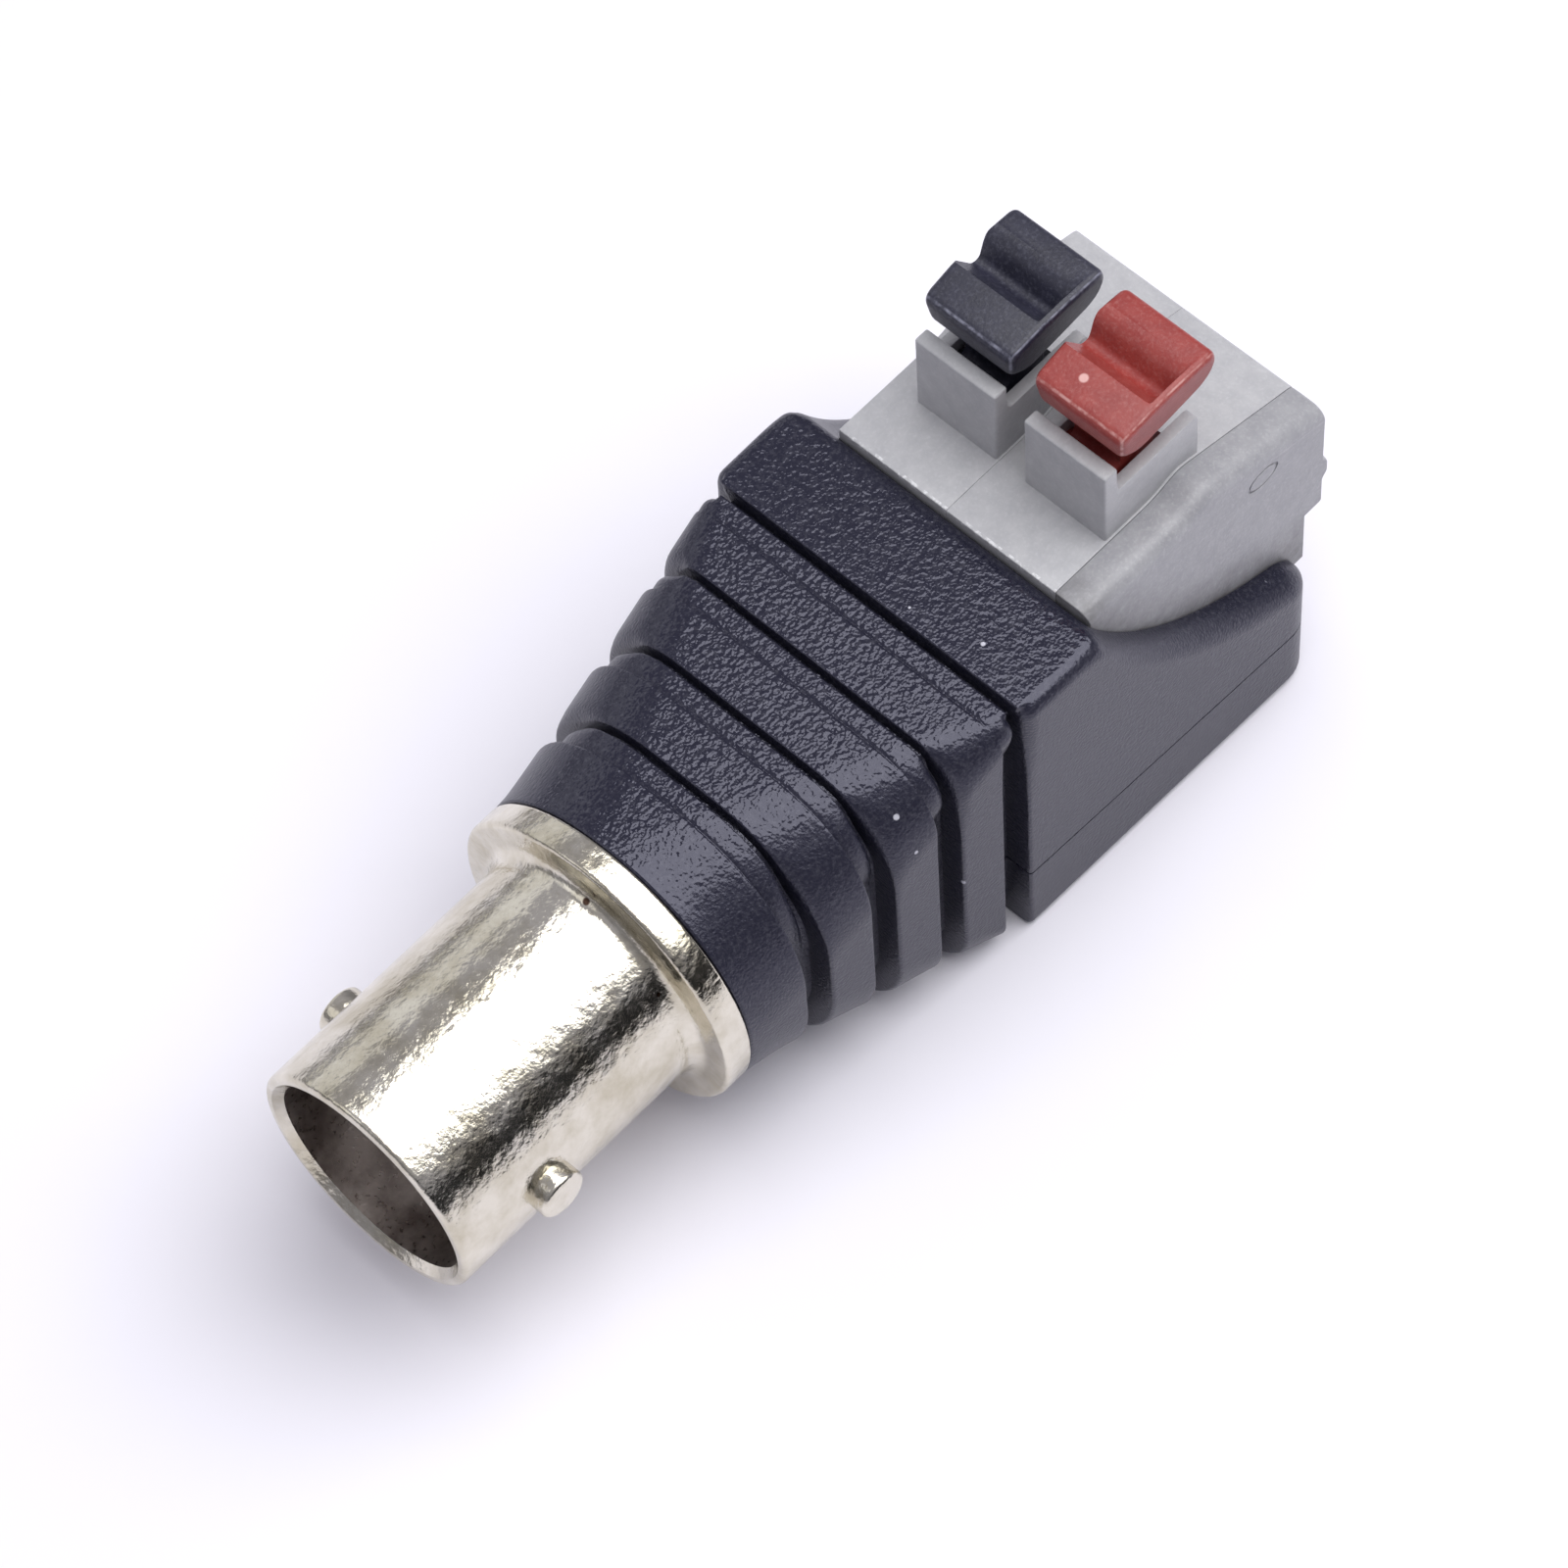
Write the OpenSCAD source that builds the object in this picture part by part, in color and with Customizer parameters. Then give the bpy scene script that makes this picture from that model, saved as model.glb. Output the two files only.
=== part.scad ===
// BNC socket to two-way lever terminal adapter.
// The X axis runs along the barrel: its mouth is at x = 0 and the terminal end is at +X.
// The part lies on its flat base, +Z up. All sizes are in millimetres.

/* [Barrel] */
// Outer diameter of the bayonet barrel
barrel_d = 9.65; // [9.5:0.05:9.8]
// Diameter of the wide lead-in at the mouth
mouth_d = 8.3; // [8.2:0.05:8.5]
// Depth of the lead-in, from the mouth to the face of the insulator
mouth_depth = 3.4; // [3:0.1:4.4]
// Diameter of the bore behind the lead-in's shoulder
bore_d = 7; // [6.6:0.1:7.4]
// Depth of the bore, from the mouth to the floor of the shell
bore_depth = 8.4; // [8:0.1:9.4]
// Length of the barrel, from the mouth to the flange
barrel_len = 11.45; // [11:0.05:13]
// Rounding of the outer edge of the mouth
mouth_edge = 0.2; // [0.05:0.05:0.4]
// Diameter of the flange
flange_d = 12.64; // [12.2:0.02:13.2]
// Thickness of the flange
flange_t = 1.2; // [0.8:0.1:2]
// Bevel on the two rims of the flange
flange_bevel = 0.15; // [0.05:0.05:0.3]
// Radius of the fillet between barrel and flange
neck_fillet = 0.55; // [0.2:0.05:0.7]
// Diameter of each bayonet lug
lug_d = 1.95; // [1.7:0.05:2.1]
// Distance over the tips of the two lugs
lug_span = 11; // [10.6:0.05:11.4]
// Distance from the mouth to the centre line of the lugs
lug_x = 4.2; // [3.6:0.1:5]
// Bevel on the tip of a lug
lug_bevel = 0.15; // [0.05:0.05:0.3]
// Diameter of the spigot inside the moulding
spigot_d = 9.2; // [8.6:0.1:9.6]
// Length of the spigot behind the flange
spigot_len = 7; // [5:0.5:8]
// Number of splines round the spigot
spline_count = 16; // [8:2:24]
// Depth of the splines
spline_depth = 0.35; // [0.2:0.05:0.5]

/* [Inner conductor] */
// Diameter of the insulator's nose
nose_d = 4.8; // [4.4:0.05:5]
// Diameter of the insulator's rear collar
collar_d = 6.6; // [6:0.1:7]
// Length of the rear collar
collar_len = 4.4; // [3:0.1:5]
// Outer diameter of the centre socket
socket_d = 2.2; // [2:0.05:2.4]
// Bore of the centre socket
socket_bore = 1.38; // [1.35:0.01:1.5]
// Depth of the socket's bore
socket_depth = 5; // [4:0.1:6]
// Distance from the insulator's face back to the socket's face
socket_recess = 0.3; // [0.1:0.05:0.6]
// Width of the cross slots in the socket
socket_slot = 0.22; // [0.15:0.01:0.3]
// Diameter of the contact's solder tail
tail_d = 1.6; // [1.4:0.1:2]
// Length of the solder tail behind the insulator
tail_len = 2.6; // [2:0.1:4]

/* [Moulding] */
// Diameter of the moulding where it meets the flange
front_d = 12.5; // [12:0.05:12.6]
// Width of the block behind the ribs
block_w = 14.9; // [14.4:0.1:16]
// Extra width of the block at its rear end
block_flare = 0.5; // [0:0.1:1]
// Height of the top plate over the barrel axis
top_h = 7.1; // [6.8:0.1:8]
// Depth of the base under the barrel axis
base_h = 7.8; // [7:0.1:8.6]
// Number of ribs
rib_count = 4; // [2:1:5]
// Distance from one rib to the next
rib_pitch = 3.1; // [2.4:0.1:3.6]
// Extra length of the rib next to the flange
first_rib_extra = 0.65; // [0.3:0.05:1.5]
// Width of a groove at the sides
groove_w = 1.1; // [0.8:0.05:1.4]
// Width of the slot that is left of a groove on top, behind its strip
slot_gap = 0.4; // [0.3:0.05:0.6]
// How far round the upper corners a strip reaches, as a share of the corner
strip_turn = 0.55; // [0.3:0.05:0.8]
// Depth of a groove
groove_depth = 0.9; // [0.5:0.05:1]
// Step down from the top plate to the ribs
rib_step = 0.2; // [0.1:0.05:0.4]
// Bulge of the ribs' sides, where 1 is straight
taper_curve = 1.2; // [1:0.05:1.5]
// Distance from the flange to where the base runs flat
base_flat = 6.6; // [5:0.1:8]
// How late the round corners of the ribs turn square on top
top_corner_curve = 1.3; // [1:0.1:2]
// How late the round corners of the ribs turn square below
low_corner_curve = 2; // [1.4:0.1:3]
// Length of the textured top plate
plate_len = 4; // [3:0.1:5]
// Distance from the top plate's front edge to the rear end
block_len = 15.4; // [14.5:0.1:17]
// Radius of the hollow sweep beside the terminals
sweep_r = 17.5; // [15:0.5:22]
// Height of the moulding's rear end, over the barrel axis
rear_h = -1.5; // [-2.5:0.1:0]
// Rounding of the plate's long edges
plate_round = 0.6; // [0.3:0.05:0.9]
// Rounding of the plate's rear edge
plate_edge = 0.5; // [0.2:0.05:0.8]
// Length over which the plate's rear corners round off
plate_corner = 1.4; // [0.8:0.1:1.8]
// Rounding of the outer edges beside the terminals
shoulder_round = 1.1; // [0.6:0.1:1.3]
// Rounding of the base's long edges
base_round = 0.5; // [0.3:0.05:1]
// Rounding of the rear corners
rear_round = 1.5; // [0.8:0.1:2]
// Diameter of the wiring chamber in the moulding
chamber_d = 9.2; // [8.6:0.1:9.6]
// Height of the base cover's joint over the base, at its front
seam_front = 3.9; // [3.4:0.1:4.2]
// Height of the base cover's joint over the base, at its rear
seam_rear = 3.2; // [2.8:0.1:3.6]
// Thickness of the base cover's floor and walls
cover_wall = 1.2; // [1:0.1:1.5]

/* [Terminal housing] */
// Distance between the two poles
pole_pitch = 5.08; // [5:0.01:5.2]
// Sideways place of the line between the two poles
pole_centre_y = 0.22; // [0:0.02:0.4]
// Thickness of the closed side wall of a module
module_wall = 1.15; // [0.9:0.05:1.2]
// Thickness of the end cover
cover_t = 1.55; // [1.2:0.05:1.7]
// Height of the terminal's front ledge over the barrel axis
ledge_h = 7.15; // [6.9:0.05:8]
// Depth of the terminal block under the barrel axis
block_depth = 2.75; // [2.4:0.05:3]
// Length of the terminal block along its top
terminal_len = 12.65; // [12:0.05:14]
// Height of the sloped roof at its front
roof_h = 7.6; // [7.3:0.05:8.4]
// Height of the sloped roof at the rear
roof_rear_h = 5.85; // [5.4:0.05:6.4]
// Distance from the block's front to the top of the roof
roof_x = 6.6; // [6:0.1:7.4]
// Step of the rear face over the moulding
rear_step = 0.9; // [0.6:0.05:1.2]
// Width of the lever post
post_w = 3.75; // [3.4:0.05:4]
// Thickness of the lever post
post_t = 0.65; // [0.5:0.05:0.9]
// Height of the lever post over the ledge
post_h = 3.85; // [3:0.05:4.2]
// Height of the lever's side walls over the ledge
cheek_h = 2.45; // [2:0.05:3]
// Thickness of the lever's side walls
cheek_t = 0.5; // [0.4:0.05:0.55]
// Distance from the block's front to the lever post
post_x = 2.7; // [2.2:0.1:3.4]
// Length of the lever's side walls
cheek_len = 4.85; // [4.6:0.05:5.4]
// Diameter of the straight part of a wire entry
wire_d = 2.7; // [2.2:0.1:3]
// Height of the wire entries over the barrel axis
wire_h = 2.7; // [2.4:0.1:3]
// Thickness of the housing's rear wall
rear_wall = 1.8; // [1.4:0.1:2.2]
// Thickness of the front and bottom walls
module_floor = 0.9; // [0.7:0.1:1.2]

/* [Levers] */
// Width of a lever's pad
pad_w = 4.3; // [3.8:0.05:4.6]
// How far the pad is set out to its closed side
pad_shift = 0.1; // [0:0.05:0.2]
// Length of a lever's pad
pad_len = 4.9; // [4.4:0.1:5.4]
// Height of the pad's top over the ledge
pad_h = 6.2; // [5.8:0.1:6.8]
// Thickness of the pad at its rear
pad_t = 1.9; // [1.4:0.1:2.1]
// Height of the pad's front face
pad_front = 1.3; // [0.8:0.1:1.5]
// Fall of the pad's top towards its front
pad_fall = 0.4; // [0.2:0.05:0.6]
// Depth of the finger groove across the pad
finger_groove = 0.6; // [0.3:0.05:0.8]
// Width of the rim that closes the finger groove at one end
pad_rim = 0.55; // [0.4:0.05:0.8]
// Width of the lever's stem
stem_w = 2.15; // [1.8:0.05:2.2]
// Reach of the lever's foot under the pivot
foot_reach = 3.6; // [3:0.1:3.8]
// Diameter of the pivot pins on the stem
pivot_d = 1.2; // [1:0.05:1.4]
// Length of each pivot pin
pivot_len = 0.55; // [0.5:0.01:0.6]
// Height of the pivot over the ledge
pivot_h = 1.15; // [1:0.05:1.3]
// Distance from the post's rear face to the pivot
pivot_x = 0.95; // [0.85:0.05:1.2]
// Running clearance round a pivot pin
pivot_gap = 0.05; // [0.03:0.01:0.08]

/* [Springs and conductors] */
// Thickness of the clamp spring's steel
spring_t = 0.3; // [0.2:0.05:0.4]
// Width of the clamp spring
spring_w = 2.3; // [2:0.1:2.4]
// Thickness of the current bar
bar_t = 0.5; // [0.4:0.05:0.55]
// Length of the current bar in front of its pin
bar_front = 0.9; // [0.6:0.1:1.2]
// Reach of the current bar beside the middle of the wire
bar_reach = 1.4; // [1.2:0.1:1.5]
// Distance from the tray's floor to the tip of a solder pin
pin_rise = 0.6; // [0.4:0.1:1]
// Distance from the tray's floor to the leads' middle
lead_rise = 1.1; // [0.8:0.1:1.4]
// Diameter of the connecting leads
lead_d = 1.2; // [1:0.1:1.4]
// Diameter of the bare ends of the leads
core_d = 0.7; // [0.5:0.05:0.8]

/* [Hidden] */
$fn = 96;
eps = 0.01;
seat = 0.02;        // clearance between pieces that seat on each other
slip = 0.05;        // clearance between pieces that slide together

// stations along the barrel axis
flange_back = barrel_len + flange_t;
spigot_end = flange_back + spigot_len;
collar_x = spigot_end - collar_len;
plate_x = flange_back + first_rib_extra + rib_count * rib_pitch;
plate_end = plate_x + plate_len;
block_end = plate_x + block_len;
term_x = plate_end + 0.3;
term_end = term_x + terminal_len;

// terminal block
black_face = pole_centre_y;                // -Y face of the black lever's module
red_face = pole_centre_y - pole_pitch;     // -Y face of the red lever's module
cavity_w = pole_pitch - module_wall;
lever_off = cavity_w / 2;                  // from a module's -Y face to its lever and wire
block_top_y = pole_centre_y + pole_pitch;
block_low_y = red_face - cover_t;
block_low = -block_depth;
step_x = term_end - rear_step;
post_front = term_x + post_x;
post_back = post_front + post_t;
cheek_end = post_front + cheek_len;
pivot_cx = post_back + pivot_x;
pivot_cz = ledge_h + pivot_h;
cavity_x = term_x + module_floor;
cavity_end = term_end - rear_wall;
cavity_low = block_low + module_floor;
bar_under = wire_h + wire_d / 2;           // underside of the current bar
pin_x = cavity_end - 2.6;                  // solder pins, along X
pin_len = 1;

// ---------- shell ----------
module shell_profile() {
    polygon(concat(
        [[0, mouth_d / 2], [0, barrel_d / 2 - mouth_edge]],
        [for (a = [30 : 30 : 90])
            [mouth_edge * (1 - cos(a)), barrel_d / 2 - mouth_edge * (1 - sin(a))]],
        [for (a = [0 : 15 : 90])
            [barrel_len - neck_fillet * (1 - sin(a)), barrel_d / 2 + neck_fillet * (1 - cos(a))]],
        [[barrel_len, flange_d / 2 - flange_bevel], [barrel_len + flange_bevel, flange_d / 2],
         [flange_back - flange_bevel, flange_d / 2], [flange_back, flange_d / 2 - flange_bevel],
         [flange_back, spigot_d / 2], [spigot_end, spigot_d / 2],
         [spigot_end, collar_d / 2 + seat], [collar_x, collar_d / 2 + seat],
         [collar_x, nose_d / 2 + seat], [bore_depth, nose_d / 2 + seat],
         [bore_depth, bore_d / 2], [mouth_depth, bore_d / 2], [mouth_depth, mouth_d / 2]]));
}

module along_x() {
    rotate([0, 90, 0]) children();
}

module revolve_x() {
    rotate([90, 0, 90]) rotate_extrude() rotate(-90) mirror([1, 0]) children();
}

module lug() {
    root = bore_d / 2 + 0.2;
    tip = lug_span / 2;
    rotate([-90, 0, 0]) {
        translate([0, 0, root]) cylinder(d = lug_d, h = tip - lug_bevel - root);
        translate([0, 0, tip - lug_bevel])
            cylinder(d1 = lug_d, d2 = lug_d - 2 * lug_bevel, h = lug_bevel);
    }
}

module splines() {
    for (i = [0 : spline_count - 1])
        rotate([i * 360 / spline_count, 0, 0])
            translate([flange_back + 1, 0, spigot_d / 2])
                rotate([45, 0, 0])
                    cube([spigot_len, spline_depth, spline_depth], center = false);
}

module shell() {
    color([0.8, 0.78, 0.74]) difference() {
        union() {
            revolve_x() shell_profile();
            for (side = [0, 180]) translate([lug_x, 0, 0]) rotate([side, 0, 0]) lug();
        }
        splines();
    }
}

// ---------- insulator and centre contact ----------
socket_x = mouth_depth + socket_recess;
tail_end = spigot_end + tail_len;

module insulator() {
    color([0.93, 0.93, 0.9]) difference() {
        union() {
            along_x() translate([0, 0, mouth_depth]) cylinder(d = nose_d, h = collar_x - mouth_depth + eps);
            along_x() translate([0, 0, collar_x]) cylinder(d = collar_d, h = collar_len);
        }
        along_x() translate([0, 0, mouth_depth - eps])
            cylinder(d1 = socket_bore + 1, d2 = socket_bore + 0.1, h = socket_recess + 2 * eps);
        along_x() translate([0, 0, socket_x])
            cylinder(d = socket_d + 2 * seat, h = spigot_end - socket_x + eps);
    }
}

module centre_contact() {
    color([0.83, 0.7, 0.4]) difference() {
        union() {
            along_x() translate([0, 0, socket_x + seat])
                cylinder(d = socket_d, h = spigot_end - socket_x - seat);
            along_x() translate([0, 0, spigot_end - eps]) cylinder(d = tail_d, h = tail_len + eps);
        }
        along_x() translate([0, 0, socket_x - eps]) cylinder(d = socket_bore, h = socket_depth);
        for (a = [0, 90]) rotate([a, 0, 0])
            translate([socket_x - eps, -socket_d, -socket_slot / 2])
                cube([socket_depth * 0.7, 2 * socket_d, socket_slot]);
        along_x() translate([0, 0, tail_end - 1.5]) cylinder(d = core_d + 2 * slip, h = 2);
    }
}

// ---------- moulding: a loft of rounded sections along the barrel axis ----------
front_r = front_d / 2;
side_r = block_w / 2;
corner_steps = 7;
groove_edge = 0.12;
strip_drop = 0.04;

function share(x) = max(0, min(1, (x - flange_back) / (plate_x - flange_back)));
function half_w(x) = x < plate_x
    ? front_r + (side_r - rib_step / 2 - front_r) * (1 - pow(1 - share(x), taper_curve))
    : side_r + block_flare / 2 * (x - plate_x) / block_len;

// hollow sweep: an arc through the plate's rear edge and the moulding's rear end
chord = [block_end - plate_end, rear_h - top_h];
chord_len = norm(chord);
sweep_rise = sqrt(pow(sweep_r, 2) - pow(chord_len / 2, 2));
sweep_c = [plate_end, top_h] + chord / 2 + [-chord[1], chord[0]] * sweep_rise / chord_len;
function sweep_z(x) = sweep_c[1] - sqrt(pow(sweep_r, 2) - pow(x - sweep_c[0], 2));

// rounded edge between the plate and the sweep
edge_turn = atan((sweep_c[0] - plate_end) / (sweep_c[1] - top_h));
edge_start = plate_end - plate_edge * tan(edge_turn / 2);
edge_end = edge_start + plate_edge * sin(edge_turn);
function edge_z(x) = top_h - plate_edge + sqrt(pow(plate_edge, 2) - pow(x - edge_start, 2));

function top_z(x) = x < plate_x ? front_r + (top_h - rib_step - front_r) * share(x)
    : x <= edge_start ? top_h : x <= edge_end ? edge_z(x) : sweep_z(x);
function low_z(x) = -front_r - (base_h - front_r) * min(1, (x - flange_back) / base_flat);
corner_start = plate_end - plate_corner;
function corner_turn(x) = 1 - sqrt(1 - pow(min(1, (x - corner_start) / plate_corner), 2));
function top_corner(x) = x < plate_x ? front_r - (front_r - plate_round) * pow(share(x), top_corner_curve)
    : x <= corner_start ? plate_round : plate_round + (shoulder_round - plate_round) * corner_turn(x);
function low_corner(x) = x < plate_x ? front_r - (front_r - base_round) * pow(share(x), low_corner_curve)
    : base_round;

function corner(x, cy, cz, r, start) =
    [for (i = [0 : corner_steps])
        [x, cy + r * cos(start + 90 * i / corner_steps), cz + r * sin(start + 90 * i / corner_steps)]];

// one section: the place where it is cut, the place it is drawn at, and its inset all round
function section(x, at_x, inset) =
    let (w = half_w(x) - inset, t = top_z(x) - inset, b = low_z(x) + inset,
         ru = max(0.1, min(top_corner(x) - inset, 0.97 * w)),
         rl = max(0.1, min(low_corner(x) - inset, 0.97 * w)))
    concat(corner(at_x, w - ru, t - ru, ru, 0), corner(at_x, ru - w, t - ru, ru, 90),
           corner(at_x, rl - w, b + rl, rl, 180), corner(at_x, w - rl, b + rl, rl, 270));

function groove_sections(i) =
    let (back = plate_x - i * rib_pitch, front = back - groove_w)
    [section(front - groove_edge, front - groove_edge, 0), section(front, front, groove_edge),
     section(front, front + 0.02, groove_depth), section(back - 0.02, back - 0.02, groove_depth),
     section(back, back, groove_edge), section(back + groove_edge, back + groove_edge, 0)];

// a strip fills the front of each groove, over the top and down round the corners
module groove_strip(i) {
    front = plate_x - i * rib_pitch - groove_w;
    back = front + groove_w - slot_gap;
    low = top_z(back) - strip_turn * top_corner(back) - 0.2;
    intersection() {
        loft([for (x = [front - 0.1, front, (front + back) / 2, back]) section(x, x, strip_drop)]);
        box(front - 0.1, back, -side_r, side_r, low, top_h);
    }
}

edge_steps = 4;
sweep_steps = 12;
sweep_stop = block_end - rear_round;
moulding_rings = concat(
    [section(flange_back, flange_back, 0.1), section(flange_back, flange_back + 0.1, 0)],
    [for (i = [rib_count - 1 : -1 : 0]) each groove_sections(i)],
    [for (i = [0 : 3]) let (x = corner_start + (edge_start - corner_start) * i / 4) section(x, x, 0)],
    [for (i = [0 : edge_steps])
        let (x = edge_start + plate_edge * sin(edge_turn * i / edge_steps)) section(x, x, 0)],
    [for (i = [1 : sweep_steps])
        let (x = edge_end + (sweep_stop - edge_end) * i / sweep_steps) section(x, x, 0)],
    [for (a = [18 : 18 : 90])
        let (x = sweep_stop + rear_round * sin(a)) section(x, x, rear_round * (1 - cos(a)))]);

module loft(rings) {
    n = len(rings[0]);
    last = len(rings) - 1;
    polyhedron(
        points = [for (r = rings) each r],
        faces = concat(
            [[for (i = [0 : n - 1]) i]],
            [[for (i = [n - 1 : -1 : 0]) last * n + i]],
            [for (k = [0 : last - 1], i = [0 : n - 1]) let (j = (i + 1) % n)
                each [[k * n + i, (k + 1) * n + i, (k + 1) * n + j], [k * n + i, (k + 1) * n + j, k * n + j]]]));
}

// the space under the joint of the base cover
cover_x = plate_x - groove_w / 2;
function seam_z(x) = -base_h + seam_front + (seam_rear - seam_front) * (x - cover_x) / (block_end - cover_x);
module under_seam(gap, x0) {
    rotate([90, 0, 0]) linear_extrude(2 * block_w, center = true)
        polygon([[x0, seam_z(x0) + gap], [block_end + 5, seam_z(block_end + 5) + gap],
                 [block_end + 5, -2 * base_h], [x0, -2 * base_h]]);
}

module box(x0, x1, y0, y1, z0, z1) {
    translate([x0, y0, z0]) cube([x1 - x0, y1 - y0, z1 - z0]);
}

// wiring space: a chamber behind the spigot, a shaft down and a tray in the base cover
tray_x = plate_x + cover_wall;
tray_end = pin_x + pin_len + 0.4;
tray_y = side_r - cover_wall - 0.3;
shaft_end = plate_end - 0.8;
module wiring_space() {
    along_x() translate([0, 0, spigot_end - eps]) cylinder(d = chamber_d, h = shaft_end - spigot_end);
    box(tray_x, shaft_end, -3.4, 3.4, -base_h + cover_wall, 0);
}

module tray() {
    box(tray_x, tray_end, -tray_y, tray_y, -base_h + cover_wall, block_low);
}

pin_slot = 0.1;
module pin_space(face) {
    box(pin_x - pin_slot, pin_x + pin_len + pin_slot,
        face + cavity_w - bar_t - slip - pin_slot, face + cavity_w + pin_slot,
        -base_h + cover_wall, block_low + 1.5);
}

module moulding() {
    color([0.21, 0.2, 0.25]) difference() {
        union() {
            loft(moulding_rings);
            for (i = [0 : rib_count - 1]) groove_strip(i);
        }
        under_seam(seat, cover_x - seat);
        along_x() translate([0, 0, flange_back - 1]) cylinder(d = spigot_d + 2 * seat, h = spigot_len + 1);
        wiring_space();
        box(term_x - slip, block_end + 1, block_low_y - slip, block_top_y + slip,
            block_low - seat, 2 * top_h);
        for (face = [black_face, red_face]) pin_space(face);
    }
}

module base_cover() {
    color([0.2, 0.19, 0.24]) difference() {
        intersection() {
            loft(moulding_rings);
            under_seam(-seat, cover_x);
        }
        tray();
    }
}

// ---------- terminal modules ----------
slope_fall = (roof_h - roof_rear_h) / (term_end - term_x - roof_x);
roof_start = roof_x - 1.5;
module_profile = [
    [term_x, block_low], [term_x, ledge_h], [term_x + roof_start, ledge_h],
    [term_x + roof_x - 0.4, roof_h - 0.08], [term_x + roof_x, roof_h],
    [term_end - 0.25, roof_rear_h + 0.25 * slope_fall], [term_end - 0.05, roof_rear_h - 0.2],
    [term_end, roof_rear_h - 0.5], [term_end, 0], [step_x, 0], [step_x, block_low]];

module in_xz(y0, w) {
    translate([0, y0 + w, 0]) rotate([90, 0, 0]) linear_extrude(w) children();
}

module module_cavity(face) {
    in_xz(face - 1, cavity_w + 1)
        polygon([[cavity_x, cavity_low], [cavity_x, ledge_h - 1.1], [term_x + roof_start, ledge_h - 1.1],
                 [cavity_end, roof_rear_h - 0.7], [cavity_end, cavity_low]]);
}

slot_w = post_w - 2 * cheek_t;
module terminal_module(face) {
    mid = face + lever_off;
    color([0.66, 0.66, 0.67]) difference() {
        union() {
            in_xz(face + seat, pole_pitch - seat) polygon(module_profile);
            box(post_front, post_back, mid - post_w / 2, mid + post_w / 2, ledge_h - 0.5, ledge_h + post_h);
            for (side = [-1, 1]) translate([0, side * (post_w - cheek_t) / 2, 0])
                in_xz(mid - cheek_t / 2, cheek_t)
                    polygon([[post_front + 0.1, ledge_h - 0.5], [post_front + 0.1, ledge_h + cheek_h + 0.5],
                             [post_back, ledge_h + cheek_h + 0.5],
                             [post_back + 0.12, ledge_h + cheek_h + 0.12],
                             [post_back + 0.5, ledge_h + cheek_h], [cheek_end, ledge_h + cheek_h],
                             [cheek_end, ledge_h - 0.5]]);
        }
        module_cavity(face);
        box(post_back, cheek_end - 0.3, mid - slot_w / 2, mid + slot_w / 2, 0, ledge_h + post_h);
        translate([pivot_cx, mid, pivot_cz]) rotate([90, 0, 0])
            cylinder(d = pivot_d + 2 * pivot_gap, h = stem_w + 2 * pivot_len + 0.1, center = true);
        translate([0, mid, wire_h]) along_x() translate([0, 0, cavity_end - 0.5]) {
            cylinder(d = wire_d, h = rear_wall + 1);
            translate([0, 0, rear_wall - 0.1]) cylinder(d1 = wire_d, d2 = wire_d + 1, h = 0.61);
        }
        pin_space(face);
    }
}

module module_black() {
    terminal_module(black_face);
}

module module_red() {
    terminal_module(red_face);
}

// the end cover has the modules' outline, with its outer top edge rounded over
cover_round = 0.65;
module round_over(from, to, before, after) {
    v = to - from;
    run = before + norm(v) + after;
    translate([from[0], block_low_y, from[1]]) rotate([0, -atan2(v[1], v[0]), 0]) difference() {
        translate([-before, -1, -cover_round]) cube([run, 1 + cover_round, 1 + cover_round]);
        translate([-before - 1, cover_round, -cover_round]) along_x() cylinder(r = cover_round, h = run + 2);
    }
}

module end_cover() {
    color([0.63, 0.64, 0.65]) difference() {
        in_xz(block_low_y, cover_t - seat) polygon(module_profile);
        round_over(module_profile[1], module_profile[2], 1, 0);
        round_over(module_profile[2], module_profile[3], 0, 1);
        round_over(module_profile[4], module_profile[5], 1, 1);
    }
}

// ---------- levers ----------
pad_x = pivot_cx - 1.05;
pad_top = ledge_h + pad_h;
groove_x = pad_x + 2.35;
module pad_outline() {
    front_top = pad_top - pad_fall;
    low = pad_top - pad_t;
    polygon([[pad_x + 0.1, front_top - pad_front], [pad_x, front_top - 0.1], [pad_x + 0.12, front_top + 0.05],
             [pad_x + 1.6, pad_top], [pad_x + pad_len - 0.35, pad_top - 0.02],
             [pad_x + pad_len, pad_top - 0.4], [pad_x + pad_len - 0.1, pad_top - 1.4],
             [pad_x + pad_len - 0.6, low], [pad_x + 2.5, low - 0.3], [pad_x + 1, low - 0.5]]);
}

module finger_notch() {
    low = pad_top - finger_groove;
    polygon([[groove_x - 0.95, pad_top + 0.5], [groove_x - 0.75, pad_top], [groove_x, low],
             [groove_x + 0.35, low], [groove_x + 0.6, pad_top - 0.25],
             [groove_x + 0.85, pad_top], [groove_x + 0.95, pad_top + 0.5]]);
}

module stem_outline() {
    foot = [pivot_cx + foot_reach * sin(33), pivot_cz - foot_reach * cos(33)];
    polygon([[pivot_cx - pivot_d / 2, pad_top - pad_t + 0.3], [pivot_cx - pivot_d / 2, pivot_cz],
             [pivot_cx - 0.35, pivot_cz - 0.55], foot + [-0.6, 0], foot + [-0.35, -0.3], foot + [0.2, -0.3],
             foot + [0.45, 0], [pivot_cx + 1.7, pivot_cz - 0.3], [pivot_cx + 2.1, pad_top - pad_t + 0.3]]);
}

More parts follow.
